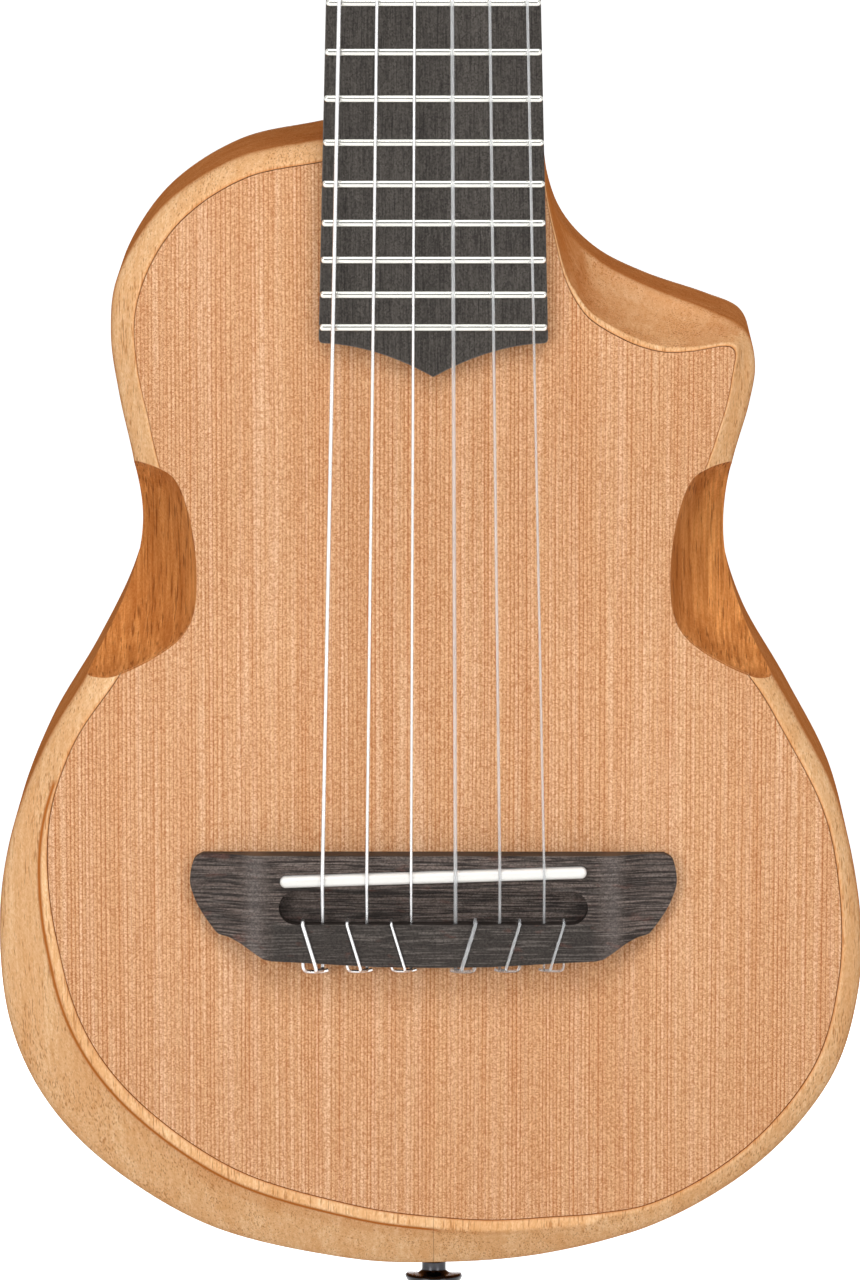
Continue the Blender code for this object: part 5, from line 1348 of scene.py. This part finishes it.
# Strap button. Turned steel, plated black: a foot on the tail, a slim waist and a wide thin flange
# with a low boss, held by one countersunk screw into the seam of the two rim halves.

BUTTON_SEAT = BODY_BOTTOM - GLUE_LINE
BUTTON_BASE = 0.0050
BUTTON_WAIST = 0.0032
BUTTON_FLANGE = 0.00775
BUTTON_BOSS = 0.00475
BOSS_HEIGHT = 0.0023
FLANGE_TOP = BOSS_HEIGHT + 0.0020
SCREW_SHANK = 0.0015
SCREW_HEAD = 0.0032
SCREW_TIP = BODY_BOTTOM + 0.013
SHANK_BORE = SCREW_SHANK + 0.0001
SINK = SCREW_HEAD + 0.0001

black_nickel = metal("black_nickel", (0.055, 0.055, 0.060), 0.14, 0.2)
button = turned("button", eased_profile([
    (SHANK_BORE, BUTTON_SEAT), (BUTTON_BASE, BUTTON_SEAT), (BUTTON_BASE, BUTTON_SEAT - 0.0008),
    (BUTTON_WAIST, BUTTON_SEAT - 0.0030), (BUTTON_WAIST, FLANGE_TOP + 0.0008),
    (BUTTON_WAIST + 0.0010, FLANGE_TOP), (BUTTON_FLANGE - 0.0005, FLANGE_TOP),
    (BUTTON_FLANGE, FLANGE_TOP - 0.0006), (BUTTON_FLANGE - 0.0006, BOSS_HEIGHT),
    (BUTTON_BOSS, BOSS_HEIGHT), (BUTTON_BOSS, 0.0005), (BUTTON_BOSS - 0.0005, 0.0),
    (SINK, 0.0), (SINK, 0.0004), (SHANK_BORE, 0.0024), (SHANK_BORE, BUTTON_SEAT),
], 0.0004, 5), 64)
show(button, black_nickel, "strap_button", smooth=40)
screw = turned("button_screw", eased_profile([
    (0, SCREW_TIP), (SCREW_SHANK, SCREW_TIP - 0.003), (SCREW_SHANK, 0.0022), (SCREW_HEAD, 0.0003),
    (SCREW_HEAD - 0.0002, GLUE_LINE), (0, GLUE_LINE),
]))
cross_cut(screw, 0.0019, 0.0004, -0.001, 0.0013)
show(screw, black_nickel, "strap_button_screw")

# Studio. The instrument hangs upright in front of white, over a pale floor, in broad soft light from
# the front, a little stronger from the left.

FLOOR_DROP = 0.35
CAMERA = (0.011, -2.971, 0.5524)
AIM = (-0.0009, -0.035, 0.1792)
LIGHTS_AIM = (0, 0, 0.2)
LENS = 317.145
LONG_SIDE = 36.0

ground = Finish("pale_floor", 0.8, Emission_Color=(1, 1, 1, 1))
tone = ground.tint(ground.patches(ground.place, 2.0, 0.3, 0.7), (0.88, 0.88, 0.88), (0.86, 0.86, 0.86))
seen = ground.put("LightPath")
looked_at = ground.maths("MAXIMUM", seen["Is Camera Ray"], seen["Is Glossy Ray"])
ground.feed(ground.shader, {"Base Color": ground.tint(looked_at, (0.70, 0.66, 0.62), tone),
                            "Emission Strength": ground.times(looked_at, 0.78)})
grid = bmesh.new()
bmesh.ops.create_grid(grid, x_segments=8, y_segments=8, size=20.0, matrix=at(0, 0, -FLOOR_DROP))
coated(mesh_object("floor", grid), ground.material)

world = bpy.data.worlds.new("studio")
world.use_nodes = True
bpy.context.scene.world = world
room = Nodes(world.node_tree)
rays = room.put("LightPath")
clear = room.maths("MAXIMUM", rays["Is Camera Ray"], rays["Is Transmission Ray"])
toward = room.put("SeparateXYZ", {0: room.put("TexCoord")["Generated"]})["Y"]
reflected = room.ramp(rays["Is Glossy Ray"], 0, 1, 0.34, room.ramp(toward, -0.9, -0.25, 0.26, 1.0))
strength = room.ramp(clear, 0, 1, reflected, 1.0)
room.feed(room.tree.nodes["Background"], {"Color": (1, 1, 1, 1), "Strength": strength})


def aimed(obj, place, target):
    obj.location = place
    obj.rotation_euler = (Vector(target) - Vector(place)).to_track_quat("-Z", "Y").to_euler()
    return obj


for name, place, size, power in (
        ("left_box", (-1.7, -2.5, 0.45), (1.3, 1.6), 25.8), ("right_box", (1.8, -2.4, 0.4), (1.2, 1.6), 16.6),
        ("top_box", (0.1, -1.9, 2.3), (2.2, 1.4), 35.0), ("back_box", (0.6, 2.8, 0.0), (2.0, 1.5), 22.0)):
    lamp = bpy.data.lights.new(name, "AREA")
    lamp.shape = "RECTANGLE"
    lamp.size, lamp.size_y = size
    lamp.energy = power
    aimed(placed(name, lamp), place, LIGHTS_AIM)

view = bpy.data.cameras.new("camera")
view.lens = LENS
view.sensor_fit = "VERTICAL"
view.sensor_height = LONG_SIDE
view.sensor_width = LONG_SIDE * 860 / 1280
view.clip_end = 60.0
bpy.context.scene.camera = aimed(placed("camera", view), CAMERA, AIM)
bpy.context.scene.view_settings.view_transform = "Standard"
